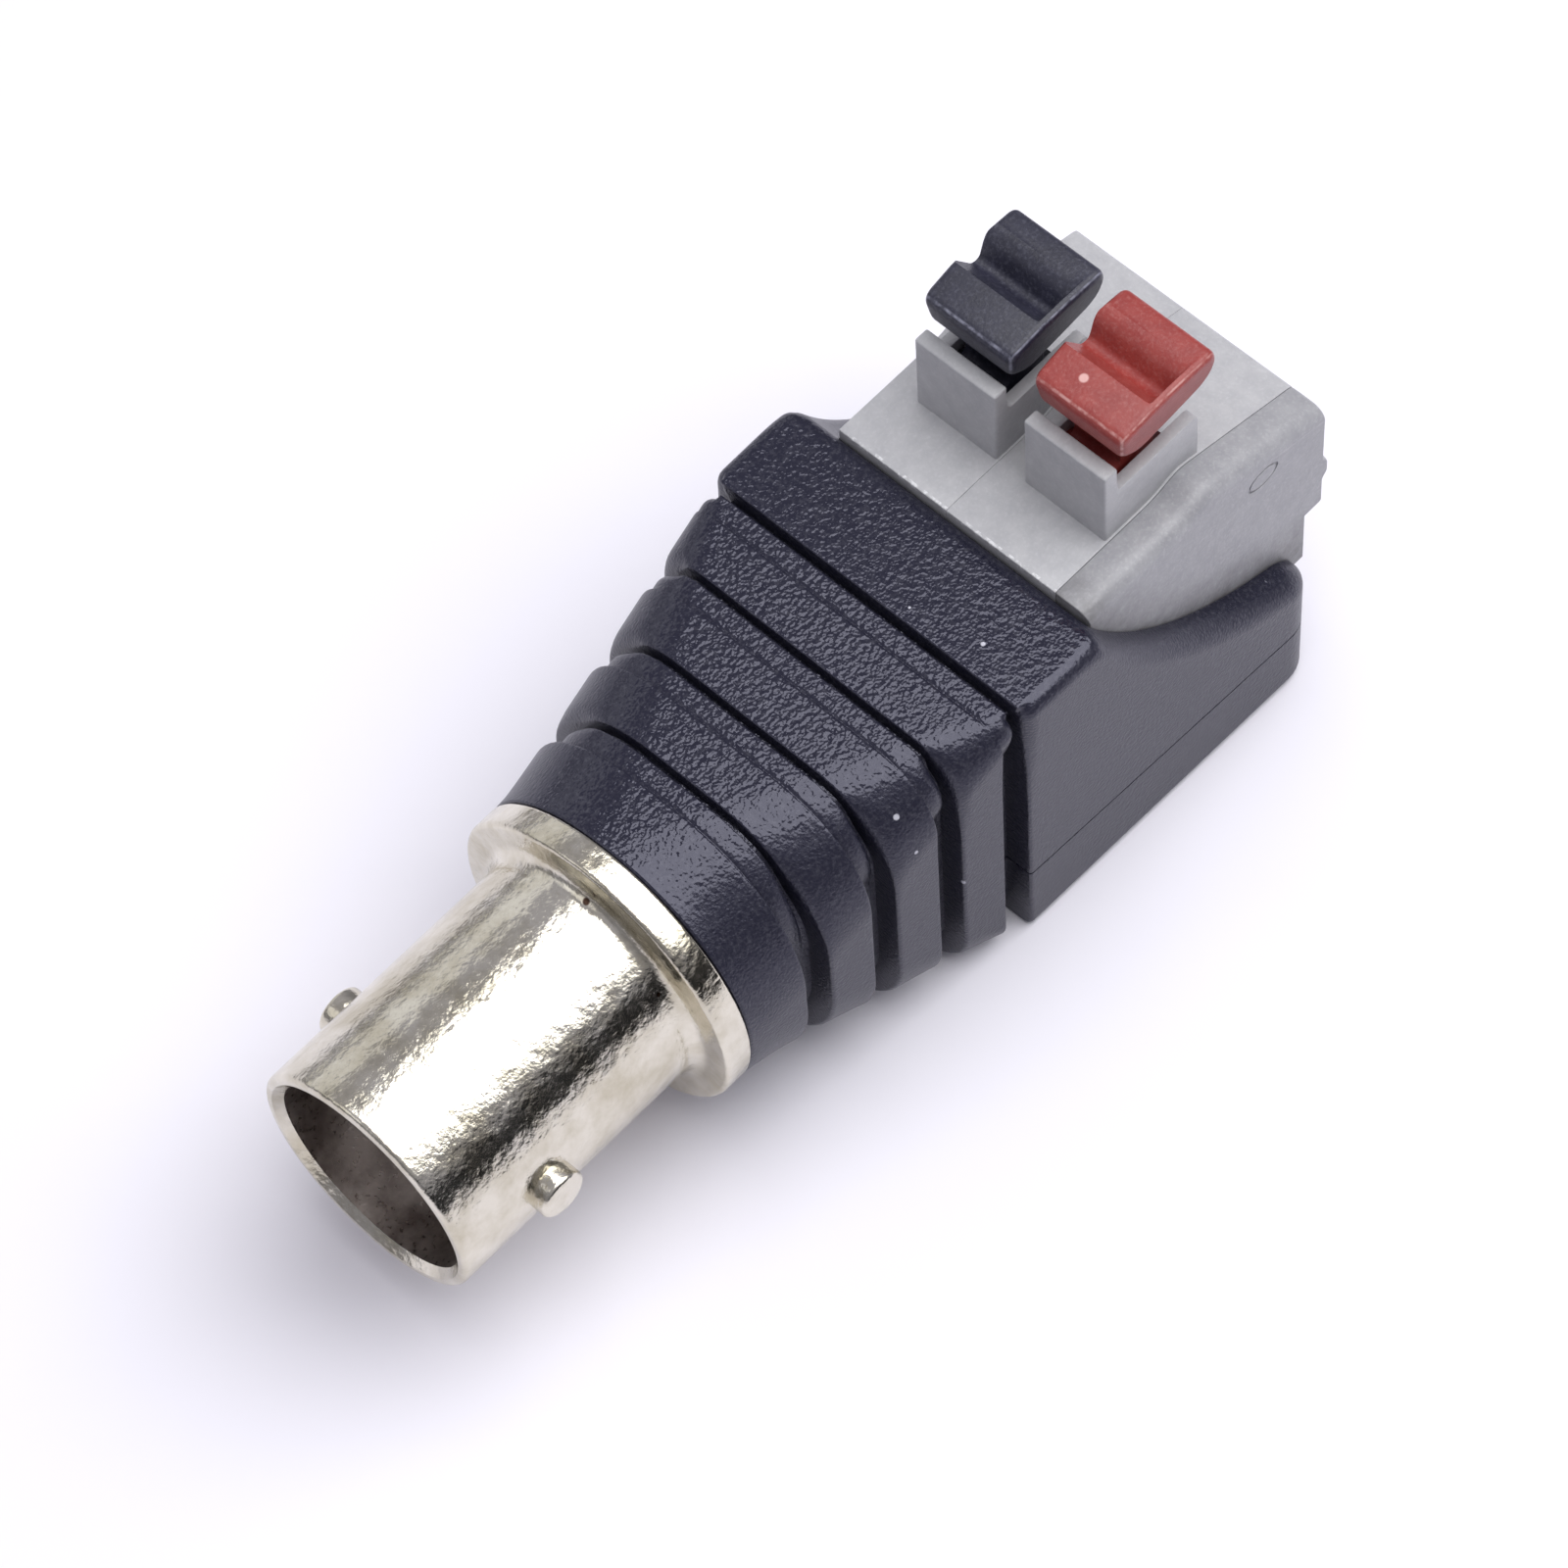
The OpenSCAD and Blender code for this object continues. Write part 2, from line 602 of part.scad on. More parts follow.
module lever(face) {
    mid = face + lever_off;
    difference() {
        in_xz(mid - pad_shift - pad_w / 2, pad_w) pad_outline();
        in_xz(mid - pad_shift - pad_w / 2 + pad_rim, pad_w - pad_rim + 1) finger_notch();
    }
    in_xz(mid - stem_w / 2, stem_w) stem_outline();
    translate([pivot_cx, mid, pivot_cz]) rotate([90, 0, 0])
        cylinder(d = pivot_d, h = stem_w + 2 * pivot_len, center = true);
}

module lever_black() {
    color([0.17, 0.17, 0.21]) lever(black_face);
}

module lever_red() {
    color([0.66, 0.26, 0.23]) lever(red_face);
}

// ---------- clamp springs, current bars and leads ----------
bend_r = 0.75;
module clamp_spring(face) {
    mid = face + lever_off;
    bend_x = cavity_x + bend_r + spring_t;
    low = cavity_low + seat;
    rise_end = [cavity_end - 1.9, bar_under - spring_t - 0.1];
    rise_start = [bend_x, low + 2 * bend_r];
    lean = atan2(rise_end[1] - rise_start[1], rise_end[0] - rise_start[0]);
    run = norm(rise_end - rise_start);
    color([0.75, 0.76, 0.78]) {
        box(bend_x, cavity_end - 3, mid - spring_w / 2, mid + spring_w / 2, low, low + spring_t);
        translate([bend_x, mid + spring_w / 2, low + bend_r]) rotate([90, 0, 0]) linear_extrude(spring_w)
            difference() {
                circle(r = bend_r);
                circle(r = bend_r - spring_t);
                translate([0, -bend_r - 1]) square([bend_r + 1, 2 * bend_r + 2]);
            }
        translate([rise_start[0], mid, rise_start[1] - spring_t]) rotate([0, -lean, 0]) {
            translate([-0.02, -spring_w / 2, 0]) cube([run, spring_w, spring_t]);
            translate([run - 0.1, -spring_w / 2, 0]) rotate([0, 2 * lean, 0]) cube([0.9, spring_w, spring_t]);
        }
    }
}

module spring_black() {
    clamp_spring(black_face);
}

module spring_red() {
    clamp_spring(red_face);
}

// a bar over the wire, with a side leg that ends in the solder pin
module current_bar(face) {
    mid = face + lever_off;
    side = face + cavity_w - slip;
    color([0.8, 0.72, 0.5]) {
        box(pin_x - bar_front, cavity_end - slip, mid - bar_reach, side,
            bar_under + slip, bar_under + slip + bar_t);
        box(pin_x, pin_x + pin_len, side - bar_t, side,
            -base_h + cover_wall + pin_rise, bar_under + slip + eps);
    }
}

module bar_black() {
    current_bar(black_face);
}

module bar_red() {
    current_bar(red_face);
}

// a straight round rod between two points, with a slightly larger ball at its far end
joint_ball = 0.08;
module rod(from, to, d) {
    v = to - from;
    translate(from) rotate([0, acos(v[2] / norm(v)), atan2(v[1], v[0])]) cylinder(d = d, h = norm(v), $fn = 24);
    translate(to) sphere(d = d + joint_ball, $fn = 24);
}

// a lead: bare at both ends, sleeved between them
module lead(route) {
    last = len(route) - 1;
    rod(route[0], route[1], core_d);
    rod(route[last - 1], route[last], core_d);
    translate(route[1]) sphere(d = lead_d + joint_ball, $fn = 24);
    for (i = [2 : last - 1]) rod(route[i - 1], route[i], lead_d);
}

lead_z = -base_h + cover_wall + lead_rise;
ground_z = -(collar_d + spigot_d) / 4;      // on the shell's rear face
function pin_side(face) = face + cavity_w - slip - bar_t - (core_d + joint_ball) / 2 - seat;

module signal_lead() {
    y = pin_side(red_face);
    color([0.75, 0.2, 0.18]) lead([
        [tail_end - 2 * core_d, 0, 0], [tail_end + 1.5 * core_d, 0, 0],
        [plate_end - 1.75 * lead_d, -0.85 * lead_d, -2 * lead_d], [plate_end - 1.5 * lead_d, -lead_d, lead_z],
        [pin_x - lead_d, y, lead_z], [pin_x + core_d, y, lead_z]]);
}

module ground_lead() {
    y = pin_side(black_face);
    color([0.15, 0.15, 0.17]) lead([
        [spigot_end + seat, 0, ground_z], [spigot_end + 1.1 * lead_d, 0, ground_z],
        [plate_end - 1.85 * lead_d, 1.1 * lead_d, -2.4 * lead_d], [plate_end - 1.5 * lead_d, 1.4 * lead_d, lead_z],
        [pin_x - lead_d, y, lead_z], [pin_x + core_d, y, lead_z]]);
}

shell();
insulator();
centre_contact();
signal_lead();
ground_lead();
moulding();
base_cover();
module_black();
module_red();
end_cover();
lever_black();
lever_red();
spring_black();
spring_red();
bar_black();
bar_red();
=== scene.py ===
import math

import bmesh
import bpy
from mathutils import Matrix, Vector


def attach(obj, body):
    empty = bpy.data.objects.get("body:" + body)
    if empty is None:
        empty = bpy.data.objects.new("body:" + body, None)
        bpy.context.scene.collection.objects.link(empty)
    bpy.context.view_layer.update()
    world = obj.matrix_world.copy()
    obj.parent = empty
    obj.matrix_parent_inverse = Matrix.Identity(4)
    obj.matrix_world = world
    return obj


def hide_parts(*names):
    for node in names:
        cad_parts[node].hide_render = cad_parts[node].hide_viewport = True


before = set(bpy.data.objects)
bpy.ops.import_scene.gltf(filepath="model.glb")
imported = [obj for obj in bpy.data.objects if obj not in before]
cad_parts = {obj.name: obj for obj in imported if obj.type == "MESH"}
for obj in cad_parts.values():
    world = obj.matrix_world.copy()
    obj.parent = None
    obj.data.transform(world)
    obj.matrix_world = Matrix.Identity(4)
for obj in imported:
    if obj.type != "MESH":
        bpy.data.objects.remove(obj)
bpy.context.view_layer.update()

mm = 0.001
scene = bpy.context.scene
scene.view_settings.view_transform = "Standard"
print("frame loaded:", len(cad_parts), "solids")

# camera, all sizes in mm
cameraSetup = {
    "aim": (21.05, 0, 0),      # the point at the middle of the view
    "distance": 235.9,
    "azimuth": 43.04,          # degrees from +Y towards +X
    "elevation": 59.73,
    "roll": 4.67,
    "lens": 153.8,
    "sensor": 36,
}


def addCamera(setup):
    az = math.radians(setup["azimuth"])
    el = math.radians(setup["elevation"])
    roll = math.radians(setup["roll"])
    look = Vector((math.sin(az) * math.cos(el), math.cos(az) * math.cos(el), -math.sin(el)))
    level = look.cross(Vector((0, 0, 1))).normalized()
    upright = level.cross(look)
    right = level * math.cos(roll) - upright * math.sin(roll)
    up = upright * math.cos(roll) + level * math.sin(roll)
    data = bpy.data.cameras.new("camera")
    data.lens = setup["lens"]
    data.sensor_width = setup["sensor"]
    data.clip_start = 0.01
    camera = bpy.data.objects.new("camera", data)
    scene.collection.objects.link(camera)
    place = (Vector(setup["aim"]) - look * setup["distance"]) * mm
    camera.matrix_world = Matrix.Translation(place) @ Matrix((right, up, -look)).transposed().to_4x4()
    scene.camera = camera


addCamera(cameraSetup)


# mesh helpers, all sizes in mm
def pieceFromFaces(name, points, faces):
    mesh = bpy.data.meshes.new(name)
    mesh.from_pydata([Vector(p) * mm for p in points], [], faces)
    work = bmesh.new()
    work.from_mesh(mesh)
    bmesh.ops.remove_doubles(work, verts=work.verts, dist=1e-8)
    bmesh.ops.recalc_face_normals(work, faces=work.faces)
    work.to_mesh(mesh)
    work.free()
    obj = bpy.data.objects.new(name, mesh)
    scene.collection.objects.link(obj)
    return obj


def loft(name, rings):
    count = len(rings[0])
    last = (len(rings) - 1) * count
    faces = [tuple(range(count - 1, -1, -1)), tuple(last + i for i in range(count))]
    for k in range(len(rings) - 1):
        for i in range(count):
            j = (i + 1) % count
            faces.append((k * count + i, k * count + j, (k + 1) * count + j, (k + 1) * count + i))
    return pieceFromFaces(name, [p for ring in rings for p in ring], faces)


def prism(name, outline, low, high):
    return loft(name, [[(x, y, z) for x, z in outline] for y in (low, high)])


def block(name, low, high):
    corners = [(low[0], low[2]), (high[0], low[2]), (high[0], high[2]), (low[0], high[2])]
    return prism(name, corners, low[1], high[1])


# a solid turned round an axis along X, from (place along the axis, radius) pairs
def turned(name, profile, steps=96, y=0, z=0):
    angles = [2 * math.pi * i / steps for i in range(steps)]
    return loft(name, [[(x, y + r * math.cos(a), z + r * math.sin(a)) for a in angles] for x, r in profile])


def turnedAlongY(name, profile, steps=48, x=0, z=0):
    angles = [2 * math.pi * i / steps for i in range(steps)]
    return loft(name, [[(x + r * math.cos(a), y, z + r * math.sin(a)) for a in angles] for y, r in profile])


# an outline of (x, z, radius) corners with each corner rounded
def rounded(corners, steps=5):
    points = []
    for i, (x, z, r) in enumerate(corners):
        here = Vector((x, z))
        before = Vector(corners[i - 1][:2]) - here
        after = Vector(corners[(i + 1) % len(corners)][:2]) - here
        reach = min(r, 0.48 * before.length, 0.48 * after.length)
        start = here + before.normalized() * reach
        end = here + after.normalized() * reach
        for k in range(steps + 1):
            t = k / steps
            p = start * (1 - t) ** 2 + here * 2 * t * (1 - t) + end * t ** 2
            points.append((p.x, p.y))
    return points


# the same corners moved inwards, for an outline that runs clockwise
def insetCorners(corners, inset):
    moved = []
    for i, (x, z, r) in enumerate(corners):
        here = Vector((x, z))
        one = (here - Vector(corners[i - 1][:2])).normalized()
        two = (Vector(corners[(i + 1) % len(corners)][:2]) - here).normalized()
        one, two = Vector((one.y, -one.x)), Vector((two.y, -two.x))
        place = here + (one + two) * inset / (1 + one.dot(two))
        moved.append((place.x, place.y, r))
    return moved


def applied(obj):
    graph = bpy.context.evaluated_depsgraph_get()
    mesh = bpy.data.meshes.new_from_object(obj.evaluated_get(graph))
    obj.modifiers.clear()
    obj.data = mesh
    return obj


def bevelled(obj, width, steps=3, angle=30):
    bevel = obj.modifiers.new("bevel", "BEVEL")
    bevel.width = width * mm
    bevel.segments = steps
    bevel.limit_method = "ANGLE"
    bevel.angle_limit = math.radians(angle)
    return applied(obj)


def joined(obj, others, operation="UNION"):
    for other in others:
        boolean = obj.modifiers.new("join", "BOOLEAN")
        boolean.operation = operation
        boolean.solver = "EXACT"
        boolean.object = other
        applied(obj)
        bpy.data.objects.remove(other)
    return obj


def cut(obj, others):
    return joined(obj, others, "DIFFERENCE")


def finished(obj, material, body, replaced, sharpAngle=32):
    obj.data.materials.clear()
    obj.data.materials.append(material)
    for polygon in obj.data.polygons:
        polygon.use_smooth = True
        polygon.material_index = 0
    obj.data.set_sharp_from_angle(angle=math.radians(sharpAngle))
    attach(obj, body)
    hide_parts(replaced)


# materials: colours are sRGB hex, and patterns are at their real scale, with sizes in mm
def linear(hexColour):
    out = []
    for i in (0, 2, 4):
        c = int(hexColour[i:i + 2], 16) / 255
        out.append(c / 12.92 if c <= 0.04045 else ((c + 0.055) / 1.055) ** 2.4)
    return (*out, 1)


def grey(value):
    return (value, value, value, 1)


def addNode(tree, kind, settings=None, inputs=None):
    node = tree.nodes.new(kind)
    for key, value in (settings or {}).items():
        setattr(node, key, value)
    for key, value in (inputs or {}).items():
        if isinstance(value, bpy.types.NodeSocket):
            tree.links.new(value, node.inputs[key])
        else:
            node.inputs[key].default_value = value
    return node


def newMaterial(name):
    material = bpy.data.materials.new(name)
    material.use_nodes = True
    tree = material.node_tree
    return material, tree, tree.nodes["Principled BSDF"]


def ramp(tree, factor, stops):
    node = addNode(tree, "ShaderNodeValToRGB", inputs={"Fac": factor})
    elements = node.color_ramp.elements
    for i, (position, colour) in enumerate(stops):
        element = elements[i] if i < 2 else elements.new(position)
        element.position = position
        element.color = colour
    return node.outputs["Color"]


# noise whose features are about the given size in mm
def noise(tree, place, size, detail, roughness):
    return addNode(tree, "ShaderNodeTexNoise", inputs={
        "Vector": place.outputs["Object"], "Scale": 1 / (size * mm), "Detail": detail,
        "Roughness": roughness}).outputs["Fac"]


def combined(tree, operation, first, second):
    return addNode(tree, "ShaderNodeMath", {"operation": operation}, {0: first, 1: second}).outputs[0]


def separated(tree, vector):
    return addNode(tree, "ShaderNodeSeparateXYZ", inputs={0: vector}).outputs


def mixed(tree, factor, base, other):
    return addNode(tree, "ShaderNodeMix", {"data_type": "RGBA"}, {0: factor, 6: base, 7: other}).outputs[2]


# bumps of a height given in mm, over the bumps that lie under them
def bumped(tree, height, depth, under=None, strength=1):
    inputs = {"Height": height, "Distance": depth * mm, "Strength": strength}
    if under is not None:
        inputs["Normal"] = under
    return addNode(tree, "ShaderNodeBump", inputs=inputs).outputs["Normal"]


# small round marks of another colour, each (x, y, z, radius) in mm
def marked(tree, place, base, marks, colour):
    for x, y, z, radius in marks:
        away = addNode(tree, "ShaderNodeVectorMath", {"operation": "DISTANCE"}, {
            0: place.outputs["Object"], 1: (x * mm, y * mm, z * mm)})
        inside = addNode(tree, "ShaderNodeMapRange", inputs={
            "Value": away.outputs["Value"], "From Min": radius * 0.7 * mm, "From Max": radius * mm,
            "To Min": 1, "To Max": 0})
        base = mixed(tree, inside.outputs[0], base, colour)
    return base


# black ABS moulded in a spark-eroded tool: the tops sparkle with a coarse grain, under a faint
# bloom of dust, and the sides stay satin and fine, since they slid out along the tool
def sparkErodedAbs(values, plateX):
    material, tree, shader = newMaterial("spark-eroded black ABS")
    place = addNode(tree, "ShaderNodeTexCoord")
    upward = separated(tree, place.outputs["Normal"])["Z"]
    top = ramp(tree, upward, [(0.76, grey(0)), (0.93, grey(1))])
    calmer = addNode(tree, "ShaderNodeMapRange", inputs={
        "Value": separated(tree, place.outputs["Object"])["X"], "From Min": (plateX - 0.1) * mm,
        "From Max": plateX * mm, "To Min": 1, "To Max": values["plateShare"]})
    coarse = bumped(tree, noise(tree, place, values["topGrain"], 1, 0.5), values["topDepth"],
                    strength=combined(tree, "MULTIPLY", top, calmer.outputs[0]))
    fine = bumped(tree, noise(tree, place, values["sideGrain"], 2, 0.5), values["sideDepth"], coarse,
                  ramp(tree, upward, [(0.7, grey(1)), (0.9, grey(0.2))]))
    rough = addNode(tree, "ShaderNodeMix", {"data_type": "FLOAT"}, {
        0: top, 2: values["sideRough"], 3: values["topRough"]})
    bloom = ramp(tree, noise(tree, place, values["bloomSize"], 3, 0.7), [
        (0.48, grey(0)), (0.75, grey(values["bloom"]))])
    tint = mixed(tree, bloom, linear(values["colour"]), linear(values["dustColour"]))
    tint = marked(tree, place, tint, values["dust"], linear(values["dustColour"]))
    tree.links.new(tint, shader.inputs["Base Color"])
    tree.links.new(rough.outputs[0], shader.inputs["Roughness"])
    tree.links.new(fine, shader.inputs["Normal"])
    shader.inputs["Specular Tint"].default_value = linear(values["sheen"])
    shader.inputs["IOR"].default_value = values["ior"]
    return material


# the rounded edges on the open side of a lever, and along its front, pale here and there: partly rubbed wear,
# partly painted highlight where these edges face the light
def wearAndHighlightEdges(tree, place, values):
    normal = separated(tree, place.outputs["Normal"])
    edge = [(0.5, grey(0)), (0.62, grey(1)), (0.72, grey(1)), (0.84, grey(0))]
    rim = ramp(tree, combined(tree, "MULTIPLY", normal["Y"], -1), edge)
    front = ramp(tree, combined(tree, "MULTIPLY", normal["X"], -1), edge)
    along = separated(tree, place.outputs["Object"])["X"]
    near = combined(tree, "LESS_THAN", along, values["frontEdge"] * mm)
    both = combined(tree, "MAXIMUM", rim, combined(tree, "MULTIPLY", front, near))
    broken = ramp(tree, noise(tree, place, values["wearSize"], 3, 0.6), [
        (0.4, grey(0.12)), (0.62, grey(0.7))])
    return combined(tree, "MULTIPLY", both, broken)


# broken dashes of painted highlight, in front of one place along X and above one height
def edgeHighlightMask(tree, place, values):
    where = separated(tree, place.outputs["Object"])
    near = combined(tree, "LESS_THAN", where["X"], values["edgeHighlight"][0] * mm)
    high = combined(tree, "GREATER_THAN", where["Z"], values["edgeHighlight"][1] * mm)
    broken = ramp(tree, noise(tree, place, values["edgeHighlightSize"], 3, 0.6), [(0.48, grey(0)), (0.62, grey(1))])
    return combined(tree, "MULTIPLY", combined(tree, "MULTIPLY", near, high), broken)


# painted shade, darker towards a round sweep along Y, given by its centre and radius in mm
def sweepShadeMask(tree, place, values, x, z, radius):
    flat = addNode(tree, "ShaderNodeVectorMath", {"operation": "MULTIPLY"}, {
        0: place.outputs["Object"], 1: (1, 0, 1)})
    away = addNode(tree, "ShaderNodeVectorMath", {"operation": "DISTANCE"}, {
        0: flat.outputs["Vector"], 1: (x * mm, 0, z * mm)})
    close = addNode(tree, "ShaderNodeMapRange", inputs={
        "Value": away.outputs["Value"], "From Min": (radius - values["sweepShadeReach"]) * mm,
        "From Max": radius * mm, "To Max": values["sweepShade"]})
    broken = ramp(tree, noise(tree, place, values["sweepShadeSize"], 4, 0.6), [
        (0.3, grey(0.3)), (0.7, grey(1))])
    return combined(tree, "MULTIPLY", close.outputs[0], broken)


# moulded polyamide: satin and faintly cloudy, so it looks slightly soft, with a fine grain and
# pale specks, with pale wear where a piece has been handled, and with painted highlight along lit edges
polyamide = {"cloudSize": 0.8, "speckSize": 0.14, "wearSize": 0.35, "edgeHighlightSize": 0.22, "ior": 1.53}


def mouldedPolyamide(name, values, sweep=None):
    values = {**polyamide, **values}
    material, tree, shader = newMaterial(name)
    place = addNode(tree, "ShaderNodeTexCoord")
    # a pale colour for specks, marks and wear, which also paints the highlights on edges
    wearAndHighlight = linear(values["wearAndHighlightColour"])
    cloud = noise(tree, place, values["cloudSize"], 4, 0.65)
    tint = ramp(tree, cloud, [(0.35, linear(values["colour"])), (0.68, linear(values["cloudColour"]))])
    specks = ramp(tree, noise(tree, place, values["speckSize"], 3, 0.6), [
        (0.5, grey(0)), (0.75, grey(values["speckle"]))])
    tint = mixed(tree, specks, tint, wearAndHighlight)
    # pale edges: partly rubbed wear, partly painted highlight
    if "frontEdge" in values:
        tint = mixed(tree, wearAndHighlightEdges(tree, place, values), tint, wearAndHighlight)
    # a painted highlight along one top front edge
    if "edgeHighlight" in values:
        tint = mixed(tree, edgeHighlightMask(tree, place, values), tint, wearAndHighlight)
    # painted shade where the piece meets the sweep
    if sweep:
        tint = mixed(tree, sweepShadeMask(tree, place, values, *sweep), tint, linear(values["sweepShadeColour"]))
    tint = marked(tree, place, tint, values.get("marks", ()), wearAndHighlight)
    grain = bumped(tree, noise(tree, place, values["grain"], 3, 0.5), values["grainDepth"])
    tree.links.new(tint, shader.inputs["Base Color"])
    tree.links.new(grain, shader.inputs["Normal"])
    shader.inputs["Roughness"].default_value = values["rough"]
    shader.inputs["IOR"].default_value = values["ior"]
    return material


# zinc die casting, nickel plated: a warm bright metal whose highlights break up over the pebbled
# and slightly wavy casting skin
def platedNickel(name, values):
    material, tree, shader = newMaterial(name)
    place = addNode(tree, "ShaderNodeTexCoord")
    skin = noise(tree, place, values["pebble"], 4, 0.6)
    stain = noise(tree, place, values["stain"], 5, 0.65)
    tint = ramp(tree, stain, [(0.36, linear(values["darkColour"])), (0.6, linear(values["colour"]))])
    tint = marked(tree, place, tint, values.get("pits", ()), linear(values["pitColour"]))
    rough = values["rough"]
    roughness = ramp(tree, skin, [(0.3, grey(rough * 0.7)), (0.75, grey(rough * 1.5))])
    wave = bumped(tree, noise(tree, place, values["wave"], 3, 0.5), values["waveDepth"])
    shader.inputs["Metallic"].default_value = 1
    tree.links.new(tint, shader.inputs["Base Color"])
    tree.links.new(roughness, shader.inputs["Roughness"])
    tree.links.new(bumped(tree, skin, values["pebbleDepth"], wave), shader.inputs["Normal"])
    return material


# one even finish without a pattern
def plainMaterial(name, colour, rough, metallic=0):
    material, tree, shader = newMaterial(name)
    shader.inputs["Base Color"].default_value = linear(colour)
    shader.inputs["Roughness"].default_value = rough
    shader.inputs["Metallic"].default_value = metallic
    return material


print("helpers ready")

# barrel: a turned shell with a flange, and two bayonet lugs; sizes in mm
barrel = {
    "radius": 4.825, "mouth": 4.15, "mouthDepth": 3.4, "bore": 3.5, "boreDepth": 8.4, "length": 11.45,
    "rim": 0.22, "mouthEdge": 0.3, "fillet": 0.55,
    "flange": 6.32, "flangeThick": 1.2, "flangeFront": 0.2, "flangeBack": 0.15,
    "lugX": 4.2, "lugRadius": 0.975, "lugRoot": 4.4, "lugTip": 5.5, "lugRound": 0.2,
    "spigot": 4.6, "spigotLength": 7.0, "noseHole": 2.42, "collarHole": 3.32, "collarLength": 4.4,
    "steps": 128,
}
nickelValues = {
    "colour": "dcd7c9", "darkColour": "c0b9a5", "stain": 2.2, "rough": 0.15,
    "pebble": 0.24, "pebbleDepth": 0.02, "wave": 0.8, "waveDepth": 0.06,
    "pitColour": "5a4538", "pits": [(11.22, -0.21, 4.93, 0.16), (10.91, -3.75, 3.04, 0.1)],
}
# the same plating inside the barrel: duller and browner where it is thin, and darker as painted shade
insideValues = {
    "colour": "c4bbb4", "darkColour": "8f857f", "stain": 2.2, "rough": 0.32,
    "pebble": 0.2, "pebbleDepth": 0.008, "wave": 0.9, "waveDepth": 0.02, "pitColour": "5a4538",
}
nickel = platedNickel("nickel-plated zinc casting", nickelValues)
dullShadedNickel = platedNickel("dull nickel inside the barrel, painted darker as shade", insideValues)


def arc(cx, cr, r, start, end, steps=6):
    angles = [math.radians(start + (end - start) * i / steps) for i in range(steps + 1)]
    return [(cx + r * math.cos(a), cr + r * math.sin(a)) for a in angles]


def makeBarrel(b):
    back = b["length"] + b["flangeThick"]
    end = back + b["spigotLength"]
    collar = end - b["collarLength"]
    outer = arc(b["rim"], b["radius"] - b["rim"], b["rim"], 180, 90)
    outer += arc(b["length"] - b["fillet"], b["radius"] + b["fillet"], b["fillet"], 270, 360)
    outer += arc(b["length"] + b["flangeFront"], b["flange"] - b["flangeFront"], b["flangeFront"], 180, 90)
    outer += arc(back - b["flangeBack"], b["flange"] - b["flangeBack"], b["flangeBack"], 90, 0)
    outer += [(back, b["spigot"]), (end, b["spigot"])]
    inner = [(end, b["collarHole"]), (collar, b["collarHole"]), (collar, b["noseHole"]),
             (b["boreDepth"], b["noseHole"]), (b["boreDepth"], b["bore"]), (b["mouthDepth"], b["bore"]),
             (b["mouthDepth"], b["mouth"]), (b["mouthEdge"], b["mouth"]), (0, b["mouth"] + b["mouthEdge"])]
    steps = b["steps"]
    angles = [2 * math.pi * i / steps for i in range(steps)]
    profile = outer + inner
    points = [(x, r * math.cos(a), r * math.sin(a)) for x, r in profile for a in angles]
    faces = []
    for k in range(len(profile)):
        n = (k + 1) % len(profile)
        for i in range(steps):
            j = (i + 1) % steps
            faces.append((k * steps + i, k * steps + j, n * steps + j, n * steps + i))
    shell = pieceFromFaces("barrelShell", points, faces)
    r = b["lugRound"]
    for side in (-1, 1):
        profile = [(side * b["lugRoot"], b["lugRadius"])]
        profile += [(side * y, q) for y, q in arc(b["lugTip"] - r, b["lugRadius"] - r, r, 90, 0, 5)]
        joined(shell, [turnedAlongY("lug", profile, 40, b["lugX"], 0)])
    finished(shell, nickel, "body", "shell")
    # the walls of the mouth and the bore, but not the rounded rim, take the darker inside nickel, partly
    # painted shade
    shell.data.materials.append(dullShadedNickel)
    near = 0.1
    for polygon in shell.data.polygons:
        c = polygon.center / mm
        if math.hypot(c.y, c.z) < b["mouth"] + 0.02 and near < c.x < b["boreDepth"] + near:
            polygon.material_index = 1


makeBarrel(barrel)
print("barrel made")

# moulding: a loft of rounded sections from the round flange end to the square block; sizes in mm
body = {
    "start": 12.65, "frontRadius": 6.25, "end": 41.1, "halfWidth": 7.45, "flare": 0.25,
    "top": 7.1, "base": 7.8, "baseFlat": 6.6,
    "sideCurve": 1.2, "topCurve": 1.3, "lowCurve": 2.0,          # how late the round end turns square
    "plateX": 25.7, "plateEnd": 29.7, "plateRound": 0.6, "plateEdge": 0.7, "plateCorner": 1.6,
    "shoulderRound": 1.1, "baseRound": 0.5, "rearRound": 1.5, "rearHeight": -1.5, "sweep": 17.5,
    "ribs": 4, "pitch": 3.1, "ribStep": 0.2, "groove": 1.1, "depth": 1.05, "edge": 0.13,
    # the strip over a groove, its ends in degrees round the corner, and the slot behind it
    "stripAngle": 85, "stripFade": 25, "stripTurn": 0.1, "stripRun": 4.6, "stripLine": 0.04,
    "lineWidth": 0.09,
    "slot": 0.28, "slotDepth": 0.6, "slotEdge": 0.07, "slotCorner": 0.55,
    "seamFront": -3.9, "seamRear": -4.6, "seamX": 25.15, "seamGap": 0.07,
    "pocketGap": 0.05, "pocketFloor": 0.02, "cornerSteps": 18, "sharpAngle": 28,
}
